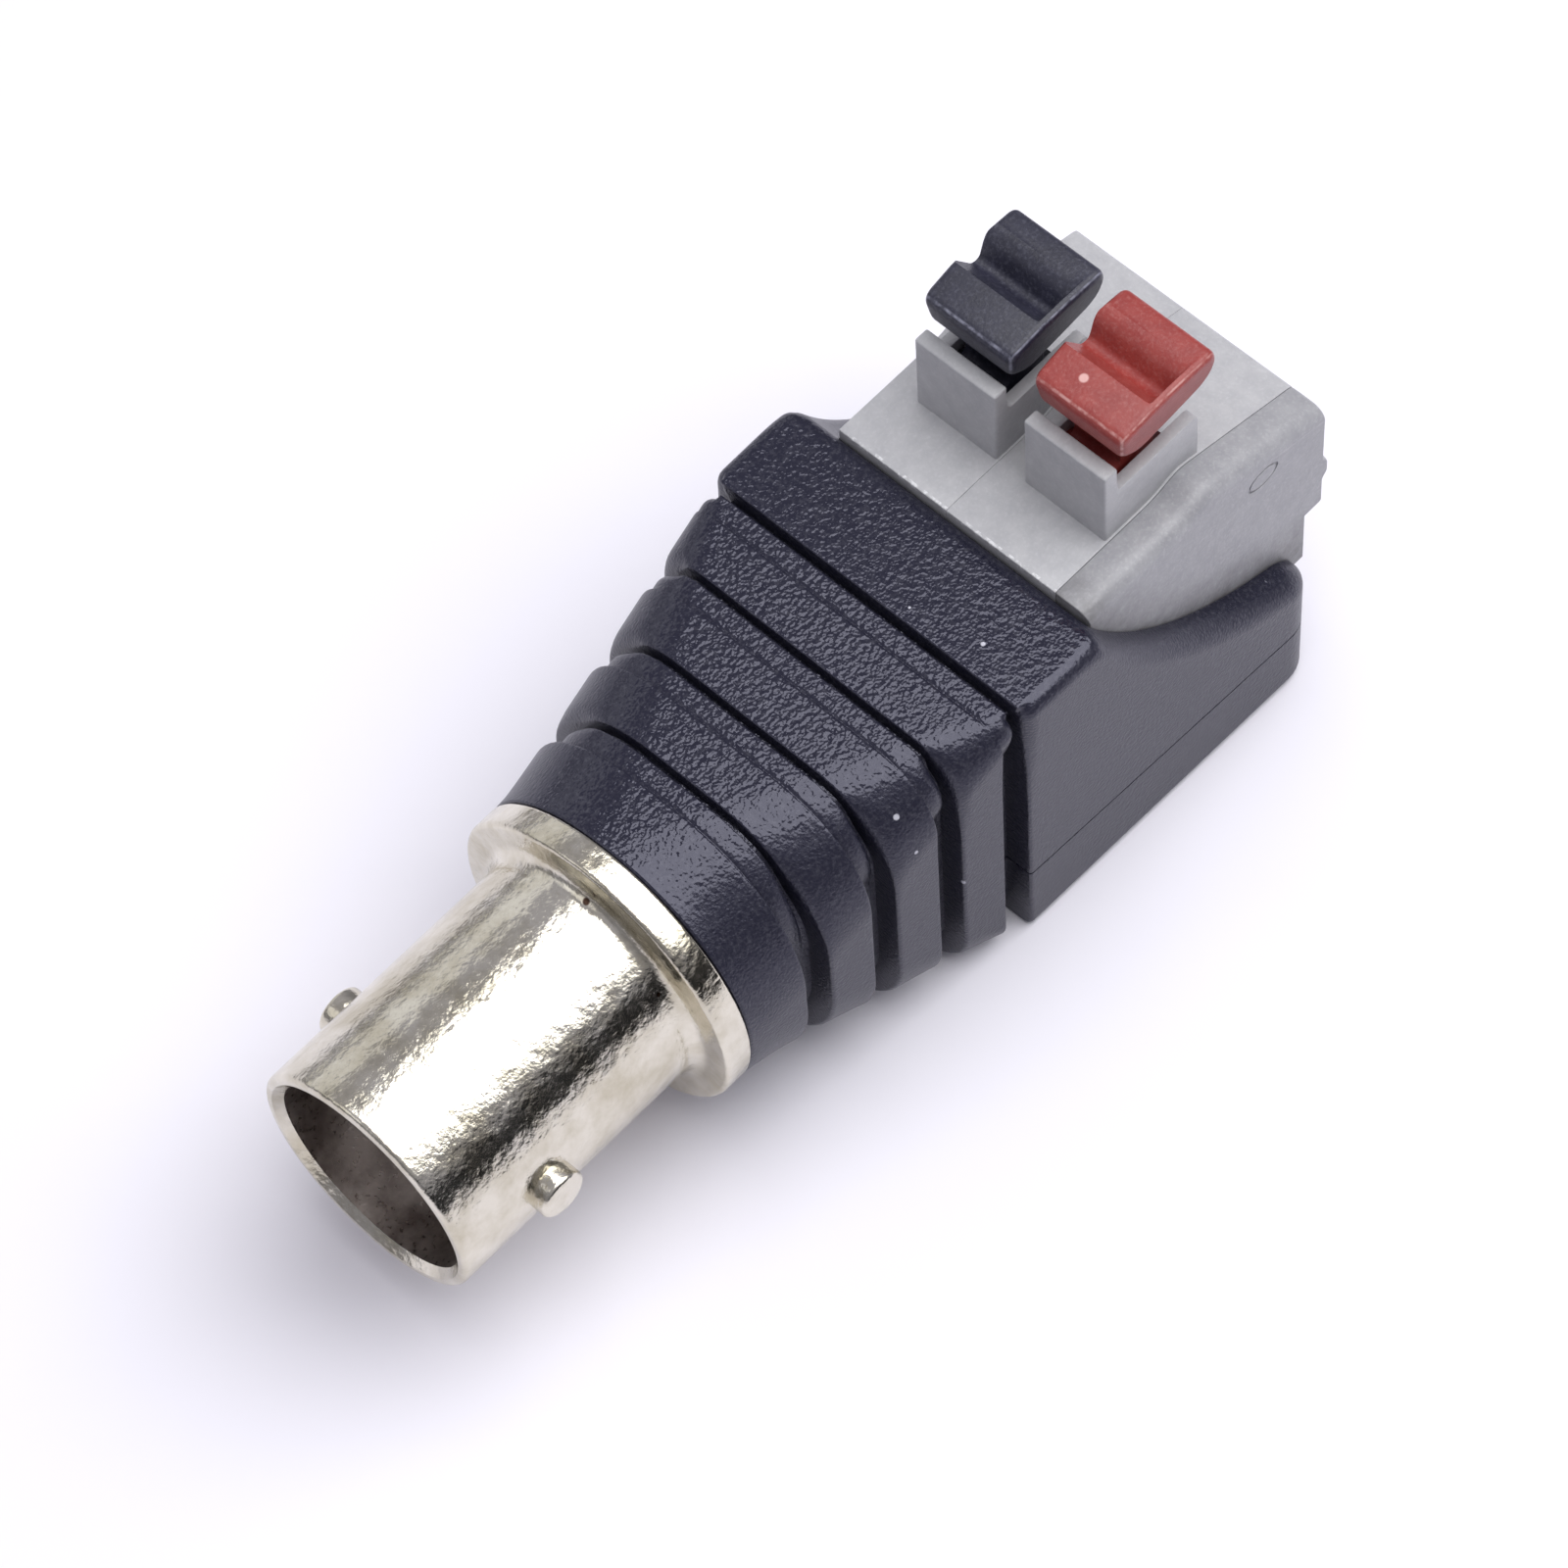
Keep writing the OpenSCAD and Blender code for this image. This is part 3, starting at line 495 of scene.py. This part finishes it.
# the space for the wiring: a chamber behind the spigot, a shaft down, and a tray in the base cover
wiring = {
    "spigotRoom": 4.62, "spigotEnd": 19.65, "chamber": 4.6, "shaftEnd": 28.9, "shaftY": 3.4,
    "floor": -6.6, "trayX": 26.9, "trayY": 5.95, "trayEnd": 39.6,
}
absValues = {
    "colour": "1b1b28", "sheen": "ebebff", "dustColour": "b8b8c0", "bloom": 0.07, "bloomSize": 0.16,
    "ior": 1.54, "topGrain": 0.2, "topDepth": 0.052, "topRough": 0.11, "plateShare": 0.7,
    "sideGrain": 0.11, "sideDepth": 0.035, "sideRough": 0.34,
    "dust": [(26.84, -4.36, 7.1, 0.1), (20.44, -6.12, 5.52, 0.13), (20.51, -6.93, 3.93, 0.09),
             (22.56, -7.1, -0.79, 0.14), (26.25, -1.48, 7.1, 0.06)],
}
blackAbs = sparkErodedAbs(absValues, body["plateX"])

# terminal block: two equal modules side by side, and an end cover on the open one; sizes in mm,
# wanted here already because the moulding has a pocket for it
terminal = {
    "front": 30.0, "ledge": 7.15, "low": -2.75, "length": 12.65, "step": 0.9, "edge": 0.025,
    "roof": 7.6, "roofX": 6.6, "roofRear": 5.85, "rise": 5.1,
    "pitch": 5.08, "blackFace": 0.22, "wall": 1.15, "rearWall": 1.8, "floor": 0.9, "roofWall": 1.1,
    "rearRoofWall": 0.7, "coverThick": 1.55, "coverRound": 0.65, "coverInset": 0.12,
    "latchOut": 0.25, "latch": (1.4, 1.7, 2.3, 2.6),     # heights of the latch ridge's corners
    "postX": 2.7, "postThick": 0.65, "postWidth": 3.75, "postHeight": 3.85, "postEdge": 0.09,
    "root": 6,                                           # height inside the block where the post starts
    "cheekHeight": 2.45, "cheekThick": 0.5, "cheekLength": 4.85, "cheekStep": 0.55, "cheekRound": 0.28,
    "wire": 2.7, "wireHeight": 2.7, "pivot": (34.3, 8.3), "pinHole": 0.65, "pinHoleReach": 1.68,
    "ejector": (39.2, 5.35), "ejectorOuter": 0.5, "ejectorInner": 0.42, "ejectorStretch": (1.6, 0.95),
}


def terminalPlaces(t):
    redFace = t["blackFace"] - t["pitch"]
    postFront = t["front"] + t["postX"]
    end = t["front"] + t["length"]
    return {
        "end": end, "redFace": redFace, "mid": (t["pitch"] - t["wall"]) / 2,
        "postFront": postFront, "postBack": postFront + t["postThick"], "cavityEnd": end - t["rearWall"],
        "lowY": redFace - t["coverThick"], "highY": t["blackFace"] + t["pitch"],
    }


terminal.update(terminalPlaces(terminal))


# the hollow sweep is an arc along X and Z, from the top plate down to the rear end
def sweepCentre():
    a = Vector((body["plateEnd"], body["top"]))
    chord = Vector((body["end"], body["rearHeight"])) - a
    rise = math.sqrt(body["sweep"] ** 2 - chord.length_squared / 4)
    return a + chord / 2 + Vector((-chord.y, chord.x)).normalized() * rise


sweepMid = sweepCentre()
edgeTurn = math.atan((sweepMid.x - body["plateEnd"]) / (sweepMid.y - body["top"]))
edgeStart = body["plateEnd"] - body["plateEdge"] * math.tan(edgeTurn / 2)
edgeEnd = edgeStart + body["plateEdge"] * math.sin(edgeTurn)
cornerStart = body["plateEnd"] - body["plateCorner"]


# how the section changes along X: its half width, top and base, and its corner radii
def bodyShare(x):
    return max(0, min(1, (x - body["start"]) / (body["plateX"] - body["start"])))


def bodyHalfWidth(x):
    if x < body["plateX"]:
        grow = body["halfWidth"] - body["ribStep"] / 2 - body["frontRadius"]
        return body["frontRadius"] + grow * (1 - (1 - bodyShare(x)) ** body["sideCurve"])
    return body["halfWidth"] + body["flare"] * (x - body["plateX"]) / (body["end"] - body["plateX"])


def bodyTop(x):
    if x < body["plateX"]:
        return body["frontRadius"] + (body["top"] - body["ribStep"] - body["frontRadius"]) * bodyShare(x)
    if x <= edgeStart:
        return body["top"]
    if x <= edgeEnd:
        return body["top"] - body["plateEdge"] + math.sqrt(body["plateEdge"] ** 2 - (x - edgeStart) ** 2)
    return sweepMid.y - math.sqrt(body["sweep"] ** 2 - (x - sweepMid.x) ** 2)


def bodyLow(x):
    share = min(1, (x - body["start"]) / body["baseFlat"])
    return -body["frontRadius"] - (body["base"] - body["frontRadius"]) * share


def bodyTopCorner(x):
    if x < body["plateX"]:
        loss = body["frontRadius"] - body["plateRound"]
        return body["frontRadius"] - loss * bodyShare(x) ** body["topCurve"]
    if x <= cornerStart:
        return body["plateRound"]
    turn = 1 - math.sqrt(1 - min(1, (x - cornerStart) / body["plateCorner"]) ** 2)
    return body["plateRound"] + (body["shoulderRound"] - body["plateRound"]) * turn


def bodyLowCorner(x):
    if x < body["plateX"]:
        loss = body["frontRadius"] - body["baseRound"]
        return body["frontRadius"] - loss * bodyShare(x) ** body["lowCurve"]
    return body["baseRound"]


# where a section's flat sides have points, as shares of their height from the top
sidePlaces = (0.03, 0.06, 0.1, 0.14, 0.19, 0.25, 0.4, 0.7)


# a ring of points round the body at x, moved inwards by the inset
def section(x, inset):
    w = bodyHalfWidth(x) - inset
    t = bodyTop(x) - inset
    b = bodyLow(x) + inset
    ru = max(0.1, min(bodyTopCorner(x) - inset, 0.97 * w))
    rl = max(0.1, min(bodyLowCorner(x) - inset, 0.97 * w))
    sideTop, sideLow = t - ru, b + rl
    ring = []
    for cy, cz, r, start in ((w - ru, t - ru, ru, 0), (ru - w, t - ru, ru, 90),
                             (rl - w, b + rl, rl, 180), (w - rl, b + rl, rl, 270)):
        for i in range(body["cornerSteps"] + 1):
            a = math.radians(start + 90 * i / body["cornerSteps"])
            ring.append((x, cy + r * math.cos(a), cz + r * math.sin(a)))
        if start == 90:
            ring += [(x, -w, sideTop + (sideLow - sideTop) * k) for k in sidePlaces]
        if start == 270:
            ring += [(x, w, sideTop + (sideLow - sideTop) * k) for k in reversed(sidePlaces)]
    return ring


def softStep(k):
    k = max(0, min(1, k))
    return k * k * (3 - 2 * k)


# how far a groove's rounded edge has fallen at a distance outside it
def roundOff(distance, radius):
    return 0 if distance >= radius else radius - math.sqrt(radius ** 2 - (radius - distance) ** 2)


def grooveInset(x, low, high, radius):
    return body["depth"] if low < x < high else roundOff(low - x if x <= low else x - high, radius)


# the angle from the side towards the top at each point of a section, in degrees
quarter = [90 * i / body["cornerSteps"] for i in range(body["cornerSteps"] + 1)]
ringTurns = quarter + quarter[::-1] + [0] * 2 * (len(sidePlaces) + len(quarter))
# distances in mm from an edge to the sections that round it, farthest first
nearEdge = (0.56, 0.42, 0.3, 0.2, 0.13, 0.09, 0.055, 0.03, 0.012, 0)


# one groove: open at the sides, and filled over the top by a strip that leaves a slot behind it
def grooveSections(index):
    back = body["plateX"] - index * body["pitch"]
    front = back - body["groove"]
    stripBack = back - body["slot"]
    corner = bodyTopCorner(stripBack)
    low = bodyTop(stripBack) - body["stripTurn"] * corner
    topTurn = body["stripAngle"] - body["stripFade"] * corner / body["frontRadius"]
    places = [front - d for d in nearEdge[3:]] + [front + d for d in (0.005, 0.05, 0.1, 0.2)]
    places += [stripBack - d for d in nearEdge] + [stripBack + 0.005, back - 0.005]
    places += [back + d for d in reversed(nearEdge)]
    rings = []
    for x in places:
        line = max(0, math.cos(math.pi / 2 * min(1, abs(x - front) / body["lineWidth"]))) ** 2
        slot = min(body["slotDepth"], grooveInset(x, stripBack, back, body["slotEdge"]))
        top = max(slot, body["stripLine"] * line)
        bend = grooveInset(x, stripBack, back, body["slotCorner"])
        side = grooveInset(x, front, back, body["edge"])
        ring = []
        for p, q, turn in zip(section(x, 0), section(x, body["depth"]), ringTurns):
            inset = top + (bend - top) * softStep((topTurn - turn) / body["stripFade"])
            inset += (side - inset) * softStep((low - p[2]) / body["stripRun"])
            ring.append(tuple(a + (b - a) * inset / body["depth"] for a, b in zip(p, q)))
        rings.append(ring)
    return rings


def seamHeight(x):
    share = (x - body["seamX"]) / (body["end"] - body["seamX"])
    return body["seamFront"] + (body["seamRear"] - body["seamFront"]) * share


# everything under the joint line, from x0 to beyond the rear end
def underSeam(name, gap, x0):
    far = 60
    outline = [(x0, seamHeight(x0) + gap), (far, seamHeight(far) + gap), (far, -20), (x0, -20)]
    return prism(name, outline, -12, 12)


# the whole outside, which the moulding and the base cover share
def mouldingLoft(name):
    first = body["start"]
    rings = [section(first, 0.12), section(first + 0.03, 0.04), section(first + 0.1, 0)]
    x = body["plateX"] - (body["ribs"] - 1) * body["pitch"] - body["groove"] - nearEdge[3]
    rings += [section(first + (x - first) * k / 4, 0) for k in range(1, 4)]
    for index in range(body["ribs"] - 1, -1, -1):
        rings += grooveSections(index)
        start = body["plateX"] - index * body["pitch"] + nearEdge[0]
        if index:
            span = body["pitch"] - body["groove"] - nearEdge[0] - nearEdge[3]
            rings += [section(start + span * k / 4, 0) for k in range(1, 4)]
    rings += [section(cornerStart + (edgeStart - cornerStart) * k / 7, 0) for k in range(7)]
    rings += [section(edgeStart + body["plateEdge"] * math.sin(edgeTurn * k / 7), 0) for k in range(8)]
    stop = body["end"] - body["rearRound"]
    rings += [section(edgeEnd + (stop - edgeEnd) * k / 28, 0) for k in range(1, 29)]
    for a in range(9, 91, 9):
        turn = math.radians(a)
        x = stop + body["rearRound"] * math.sin(turn)
        rings.append(section(x, body["rearRound"] * (1 - math.cos(turn))))
    return loft(name, rings)


# the moulding and the base cover under its joint line, cut by tools that reach well past them
def makeMoulding(t, w):
    upper = mouldingLoft("ribbedMoulding")
    gap = body["seamGap"] / 2
    room = body["pocketGap"]
    pocket = block("pocket", (t["front"] - room, t["lowY"] - room, t["low"] - body["pocketFloor"]),
                   (50, t["highY"] + room, 20))
    chamber = turned("chamber", [(11, w["spigotRoom"]), (w["spigotEnd"], w["spigotRoom"]),
                                 (w["spigotEnd"] + 0.01, w["chamber"]), (w["shaftEnd"], w["chamber"])], 64)
    shaft = block("shaft", (w["trayX"], -w["shaftY"], w["floor"]), (w["shaftEnd"], w["shaftY"], 0))
    cut(upper, [underSeam("under", gap, body["seamX"] - body["seamGap"]), pocket, chamber, shaft])
    finished(upper, blackAbs, "body", "moulding", body["sharpAngle"])
    lower = mouldingLoft("baseCover")
    joined(lower, [underSeam("under", -gap, body["seamX"])], "INTERSECT")
    cut(lower, [block("tray", (w["trayX"], -w["trayY"], w["floor"]), (w["trayEnd"], w["trayY"], 0))])
    finished(lower, blackAbs, "body", "base_cover", body["sharpAngle"])


makeMoulding(terminal, wiring)
print("moulding made")

# light grey polyamide of the modules, with a painted highlight along the top front edge, given as (x, z)
greyValues = {
    "colour": "a8a8ab", "cloudColour": "b3b3b5", "wearAndHighlightColour": "d6d6d8", "speckle": 0.2,
    "rough": 0.45, "grain": 0.14, "grainDepth": 0.014, "edgeHighlight": (30.13, 6.98),
}
# the end cover, a darker batch of the same plastic, with painted shade where it meets the sweep
coverValues = {
    "colour": "929296", "cloudColour": "9e9ea1", "wearAndHighlightColour": "d8d8d8", "speckle": 0.2,
    "rough": 0.42, "grain": 0.16, "grainDepth": 0.014,
    "sweepShadeColour": "5c5a59", "sweepShade": 0.75, "sweepShadeReach": 2.2, "sweepShadeSize": 0.6,
}
greyPolyamide = mouldedPolyamide("grey polyamide", greyValues)
coverPolyamide = mouldedPolyamide("grey polyamide of the end cover", coverValues,
                                  (sweepMid.x, sweepMid.y, body["sweep"]))


# the outline seen along Y, let down and set in where the cover rounds off
def sideOutline(t, fall=0, inset=0, latch=False):
    front, end = t["front"] + inset, t["end"] - inset
    slope = (t["roof"] - t["roofRear"]) / (t["length"] - t["roofX"])
    corners = [(front, t["low"], 0.05), (front, t["ledge"] - fall, 0.06)]
    corners += [(t["front"] + t["rise"], t["ledge"] - fall, 0.5),
                (t["front"] + t["roofX"] - 0.2, t["roof"] - 0.02 - fall, 0.5),
                (t["end"] - 0.1, t["roofRear"] + 0.1 * slope - fall, 0.35)]
    corners += [(end, t["roofRear"] - 0.5 - fall / 2, 0.2)]
    if latch:
        out = end + t["latchOut"]
        foot, low, high, head = t["latch"]
        corners += [(end, head, 0.1), (out, high, 0.1), (out, low, 0.1), (end, foot, 0.1)]
    corners += [(end, -0.02, 0.12), (end - t["step"], -0.02, 0.04), (end - t["step"], t["low"], 0.04)]
    return rounded(corners)


# a wall beside the lever, with a round step down behind the post
def cheek(t, centre):
    top = t["ledge"] + t["cheekHeight"]
    start, end = t["postFront"] + 0.15, t["postFront"] + t["cheekLength"]
    r = t["cheekRound"]
    step = top + t["cheekStep"]
    outline = [(start, t["root"]), (start, step), (t["postBack"] + 0.02, step)]
    for a in range(75, -1, -15):
        outline.append((t["postBack"] + 0.3 - r * math.sin(math.radians(a)),
                        top + r - r * math.cos(math.radians(a))))
    outline += [(end - 0.25, top), (end - 0.07, top - 0.07), (end, top - 0.25), (end, t["root"])]
    half = t["cheekThick"] / 2
    return bevelled(prism("cheek", outline, centre - half, centre + half), 0.05, 2)


# one module, from its face at -Y: a hollow block with a post and two cheeks round its lever
def terminalModule(t, name, face, replaced):
    mid = face + t["mid"]
    half = t["postWidth"] / 2
    solid = bevelled(prism(name, sideOutline(t), face + 0.006, face + t["pitch"]), t["edge"])
    post = block("post", (t["postFront"], mid - half, t["root"]),
                 (t["postBack"], mid + half, t["ledge"] + t["postHeight"]))
    cheekY = half - t["cheekThick"] / 2
    joined(solid, [bevelled(post, t["postEdge"]), cheek(t, mid - cheekY), cheek(t, mid + cheekY)])
    front, low, roof = t["front"] + t["floor"], t["low"] + t["floor"], t["ledge"] - t["roofWall"]
    cavity = prism("cavity", [(front, low), (front, roof), (t["front"] + t["rise"], roof),
                              (t["cavityEnd"], t["roofRear"] - t["rearRoofWall"]), (t["cavityEnd"], low)],
                   face - 1, face + t["pitch"] - t["wall"])
    inner = half - t["cheekThick"]
    slotBox = block("slotBox", (t["postBack"], mid - inner, 0),
                    (t["postFront"] + t["cheekLength"] - 0.3, mid + inner, 20))
    r = t["wire"] / 2
    # the wire entry, flared at its mouth
    entry = [(t["cavityEnd"] - 0.5, r), (t["end"] - 0.45, r), (t["end"] - 0.2, r + 0.12),
             (t["end"] + 0.1, r + 0.6)]
    wireHole = turned("wireHole", entry, 56, mid, t["wireHeight"])
    reach = t["pinHoleReach"]
    pivot = turnedAlongY("pivot", [(mid - reach, t["pinHole"]), (mid + reach, t["pinHole"])], 32, *t["pivot"])
    cut(solid, [cavity, slotBox, wireHole, pivot])
    finished(solid, greyPolyamide, "body", replaced)


# a flat cover with a rounded outer edge and a latch ridge at its rear
def endCover(t):
    r = t["coverRound"]
    low = t["lowY"]
    rings = []
    for a in range(0, 91, 15):
        s = math.sin(math.radians(a))
        y = low + r * (1 - math.cos(math.radians(a)))
        rings.append([(x, y, z) for x, z in sideOutline(t, r * (1 - s), t["coverInset"] * (1 - s), True)])
    for back, shrink in ((0.08, 0), (0.02, 0.02)):
        y = low + t["coverThick"] - back
        rings.append([(x, y, z) for x, z in sideOutline(t, shrink, shrink, True)])
    solid = loft("endCover", rings)
    # a shallow ring left by an ejector pin
    ring = turnedAlongY("ejector", [(low - 1, t["ejectorOuter"]), (low + 0.05, t["ejectorOuter"])], 40)
    core = turnedAlongY("ejectorCore", [(low - 2, t["ejectorInner"]), (low + 1, t["ejectorInner"])], 40)
    cut(ring, [core])
    place = Vector((t["ejector"][0], 0, t["ejector"][1])) * mm
    stretch = Matrix.Diagonal((t["ejectorStretch"][0], 1, t["ejectorStretch"][1], 1))
    ring.data.transform(Matrix.Translation(place) @ stretch)
    cut(solid, [ring])
    finished(solid, coverPolyamide, "body", "end_cover")


terminalModule(terminal, "terminalBlack", terminal["blackFace"], "module_black")
terminalModule(terminal, "terminalRed", terminal["redFace"], "module_red")
endCover(terminal)
print("terminal block made")

# levers: a pad notched for a fingertip or a screwdriver, on a stem with two pins; sizes in mm
lever = {
    "width": 4.3, "shift": 0.1, "edge": 0.3, "taper": 0.13, "rim": 0.3, "ramp": 0.6,
    "stem": 2.15, "stemEdge": 0.06, "pin": 0.6, "pinReach": 1.62, "pinBevel": 0.05,
    # corners as (x, z, radius)
    "pad": [(33.4, 11.6, 0.4), (33.2, 13.0, 0.4), (34.85, 13.32, 0.3), (36.2, 13.36, 0.3),
            (38.0, 13.26, 0.22), (38.22, 12.7, 0.2), (38.12, 11.95, 0.3), (37.6, 11.44, 0.3),
            (35.8, 11.12, 0.3), (34.3, 10.95, 0.35)],
    "notch": [(34.6, 14, 0), (34.85, 13.35, 0.2), (35.75, 12.25, 0.3), (36.12, 12.25, 0.3),
              (36.62, 13.17, 0.55), (37.6, 13.36, 0.1), (37.7, 14, 0)],
    "stemOutline": [(34.4, 11.6, 0), (34.4, 9.4, 0.2), (33.7, 8.9, 0.3), (33.7, 8.1, 0.3),
                    (33.95, 7.75, 0.1), (35.65, 5.3, 0.1), (35.9, 5.0, 0.1), (36.46, 5.0, 0.1),
                    (36.7, 5.3, 0.1), (36.0, 8.0, 0.3), (36.4, 11.6, 0)],
}
# black and red polyamide, their edges pale: partly rubbed by fingers, partly painted highlight
blackLeverValues = {
    "colour": "1e1e2c", "cloudColour": "272737", "wearAndHighlightColour": "8f90a0", "speckle": 0.14,
    "rough": 0.45, "grain": 0.12, "grainDepth": 0.012, "frontEdge": 33.8,
}
redLeverValues = {
    "colour": "89302c", "cloudColour": "963c36", "wearAndHighlightColour": "d3a49e", "speckle": 0.14,
    "rough": 0.42, "grain": 0.12, "grainDepth": 0.012, "frontEdge": 33.8,
    "marks": [(34.29, -2.39, 13.18, 0.2)],
}
blackPolyamide = mouldedPolyamide("black polyamide", blackLeverValues)
redPolyamide = mouldedPolyamide("red polyamide", redLeverValues)


def makeLever(name, mid, material, bodyName):
    half = lever["width"] / 2
    top = max(corner[1] for corner in lever["pad"])
    r = lever["edge"]
    rings = []
    for side in (-1, 1):
        ends = []
        for a in range(0, 91, 15):
            outline = rounded(insetCorners(lever["pad"], r * (1 - math.sin(math.radians(a)))))
            reach = half - r * (1 - math.cos(math.radians(a)))
            ends.append([(x, mid - lever["shift"] + side * (reach - lever["taper"] * (top - z)), z)
                         for x, z in outline])
        rings += ends if side < 0 else ends[::-1]
    pad = loft(name, rings)
    # the notch is open at one side, and rises in a round ramp to the rim at the other
    start = mid - lever["shift"] - half + lever["rim"]
    level = lever["notch"][1][1]
    outline = rounded(lever["notch"], 6)
    rings = []
    for a in range(3, 91, 12):
        y = start + lever["ramp"] * (1 - math.cos(math.radians(a)))
        deep = math.sin(math.radians(a))
        rings.append([(x, y, z if z > level else level + (z - level) * deep) for x, z in outline])
    rings.append([(x, mid + half + 2, z) for x, z in outline])
    cut(pad, [loft("notch", rings)])
    thick = lever["stem"] / 2
    stem = prism("stem", rounded(lever["stemOutline"], 3), mid - thick, mid + thick)
    bevelled(stem, lever["stemEdge"], 2)
    tip = (lever["pinReach"], lever["pin"] - lever["pinBevel"])
    rod = (lever["pinReach"] - lever["pinBevel"], lever["pin"])
    profile = [(mid - tip[0], tip[1]), (mid - rod[0], rod[1]), (mid + rod[0], rod[1]), (mid + tip[0], tip[1])]
    joined(pad, [stem, turnedAlongY("pins", profile, 32, *terminal["pivot"])])
    finished(pad, material, bodyName, bodyName)


makeLever("leverBlack", terminal["blackFace"] + terminal["mid"], blackPolyamide, "lever_black")
makeLever("leverRed", terminal["redFace"] + terminal["mid"], redPolyamide, "lever_red")
print("levers made")

# the inner pieces keep their CAD shapes and get their real finishes, as (colour, roughness, metallic)
innerValues = {
    "turned PTFE": ("e9e8e2", 0.4, 0),              # waxy white of the insulator
    "gold-plated brass": ("cba45a", 0.25, 1),       # warm clean metal of the contact and the bars
    "spring steel": ("b9bac0", 0.3, 1),             # bright cold metal of the springs
    "red PVC sleeve": ("9a2a24", 0.5, 0),           # soft dull sleeves of the leads
    "black PVC sleeve": ("202024", 0.5, 0),
}
finishes = {
    "insulator": "turned PTFE", "centre_contact": "gold-plated brass",
    "spring_black": "spring steel", "spring_red": "spring steel",
    "bar_black": "gold-plated brass", "bar_red": "gold-plated brass",
    "signal_lead": "red PVC sleeve", "ground_lead": "black PVC sleeve",
}
innerMaterials = {name: plainMaterial(name, *values) for name, values in innerValues.items()}
for node, finish in finishes.items():
    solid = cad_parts[node]
    if not solid.material_slots:
        solid.data.materials.append(innerMaterials[finish])
    for materialSlot in solid.material_slots:
        materialSlot.material = innerMaterials[finish]
print("inner pieces finished")

# floor, sky and lamps: one wide softbox overhead in a dim room, over a white floor
studio = {
    "floor": "f1eff6", "floorReach": 600, "sky": "ecebf8", "skyTop": 0.5, "skyLow": 0.3,
    # a dark card standing low on one side: middle, length, height, in mm
    "card": ((20, -420, 115), 1100, 190),
    "cardColour": "18181a",
    # place and aim in mm, width, height, power in watts
    "lamps": [
        ((86, -52, 230), (20, 0, 0), 240, 290, 0.75),       # the softbox that lights the tops
        ((-120, 90, 120), (20, 0, 0), 90, 90, 0.02),        # a weak fill from the mouth's side
        ((20, 420, 190), (20, 0, 0), 600, 200, 0.22),       # a long panel on the far side
    ],
}


# white paper, quite matt, which keeps the soft shadow
def makeFloor():
    reach = studio["floorReach"]
    z = -body["base"]
    corners = [(-reach, -reach, z), (reach, -reach, z), (reach, reach, z), (-reach, reach, z)]
    floor = pieceFromFaces("floor", corners, [(0, 1, 2, 3)])
    material, tree, shader = newMaterial("white paper sweep")
    shader.inputs["Base Color"].default_value = linear(studio["floor"])
    shader.inputs["Roughness"].default_value = 0.9
    shader.inputs["Specular IOR Level"].default_value = 0.1
    floor.data.materials.append(material)


# matt black board, which keeps one side of the metal dark
def makeCard(middle, length, height):
    x, y, z = middle
    corners = [(x - length / 2, y, z - height / 2), (x + length / 2, y, z - height / 2),
               (x + length / 2, y, z + height / 2), (x - length / 2, y, z + height / 2)]
    card = pieceFromFaces("card", corners, [(0, 1, 2, 3)])
    card.data.materials.append(plainMaterial("black card", studio["cardColour"], 0.9))
    card.visible_camera = False


def makeSky():
    world = bpy.data.worlds.new("studio")
    world.use_nodes = True
    tree = world.node_tree
    tree.nodes.clear()
    place = addNode(tree, "ShaderNodeTexCoord")
    height = addNode(tree, "ShaderNodeSeparateXYZ", inputs={0: place.outputs["Generated"]})
    # white under the horizon, dim round the sides, paler overhead
    tone = ramp(tree, height.outputs["Z"], [(0.0, grey(1)), (0.02, grey(studio["skyLow"])),
                                            (0.4, grey(studio["skyLow"])), (0.75, grey(studio["skyTop"]))])
    sky = addNode(tree, "ShaderNodeBackground", inputs={"Color": linear(studio["sky"]), "Strength": tone})
    addNode(tree, "ShaderNodeOutputWorld", inputs={"Surface": sky.outputs[0]})
    scene.world = world


def addLamp(place, aim, width, height, power):
    data = bpy.data.lights.new("softbox", "AREA")
    data.shape = "RECTANGLE"
    data.size = width * mm
    data.size_y = height * mm
    data.energy = power
    lamp = bpy.data.objects.new("softbox", data)
    lamp.location = Vector(place) * mm
    lamp.rotation_euler = (Vector(aim) - Vector(place)).to_track_quat("-Z", "Y").to_euler()
    scene.collection.objects.link(lamp)


makeFloor()
makeCard(*studio["card"])
makeSky()
for lamp in studio["lamps"]:
    addLamp(*lamp)
print("studio lit")
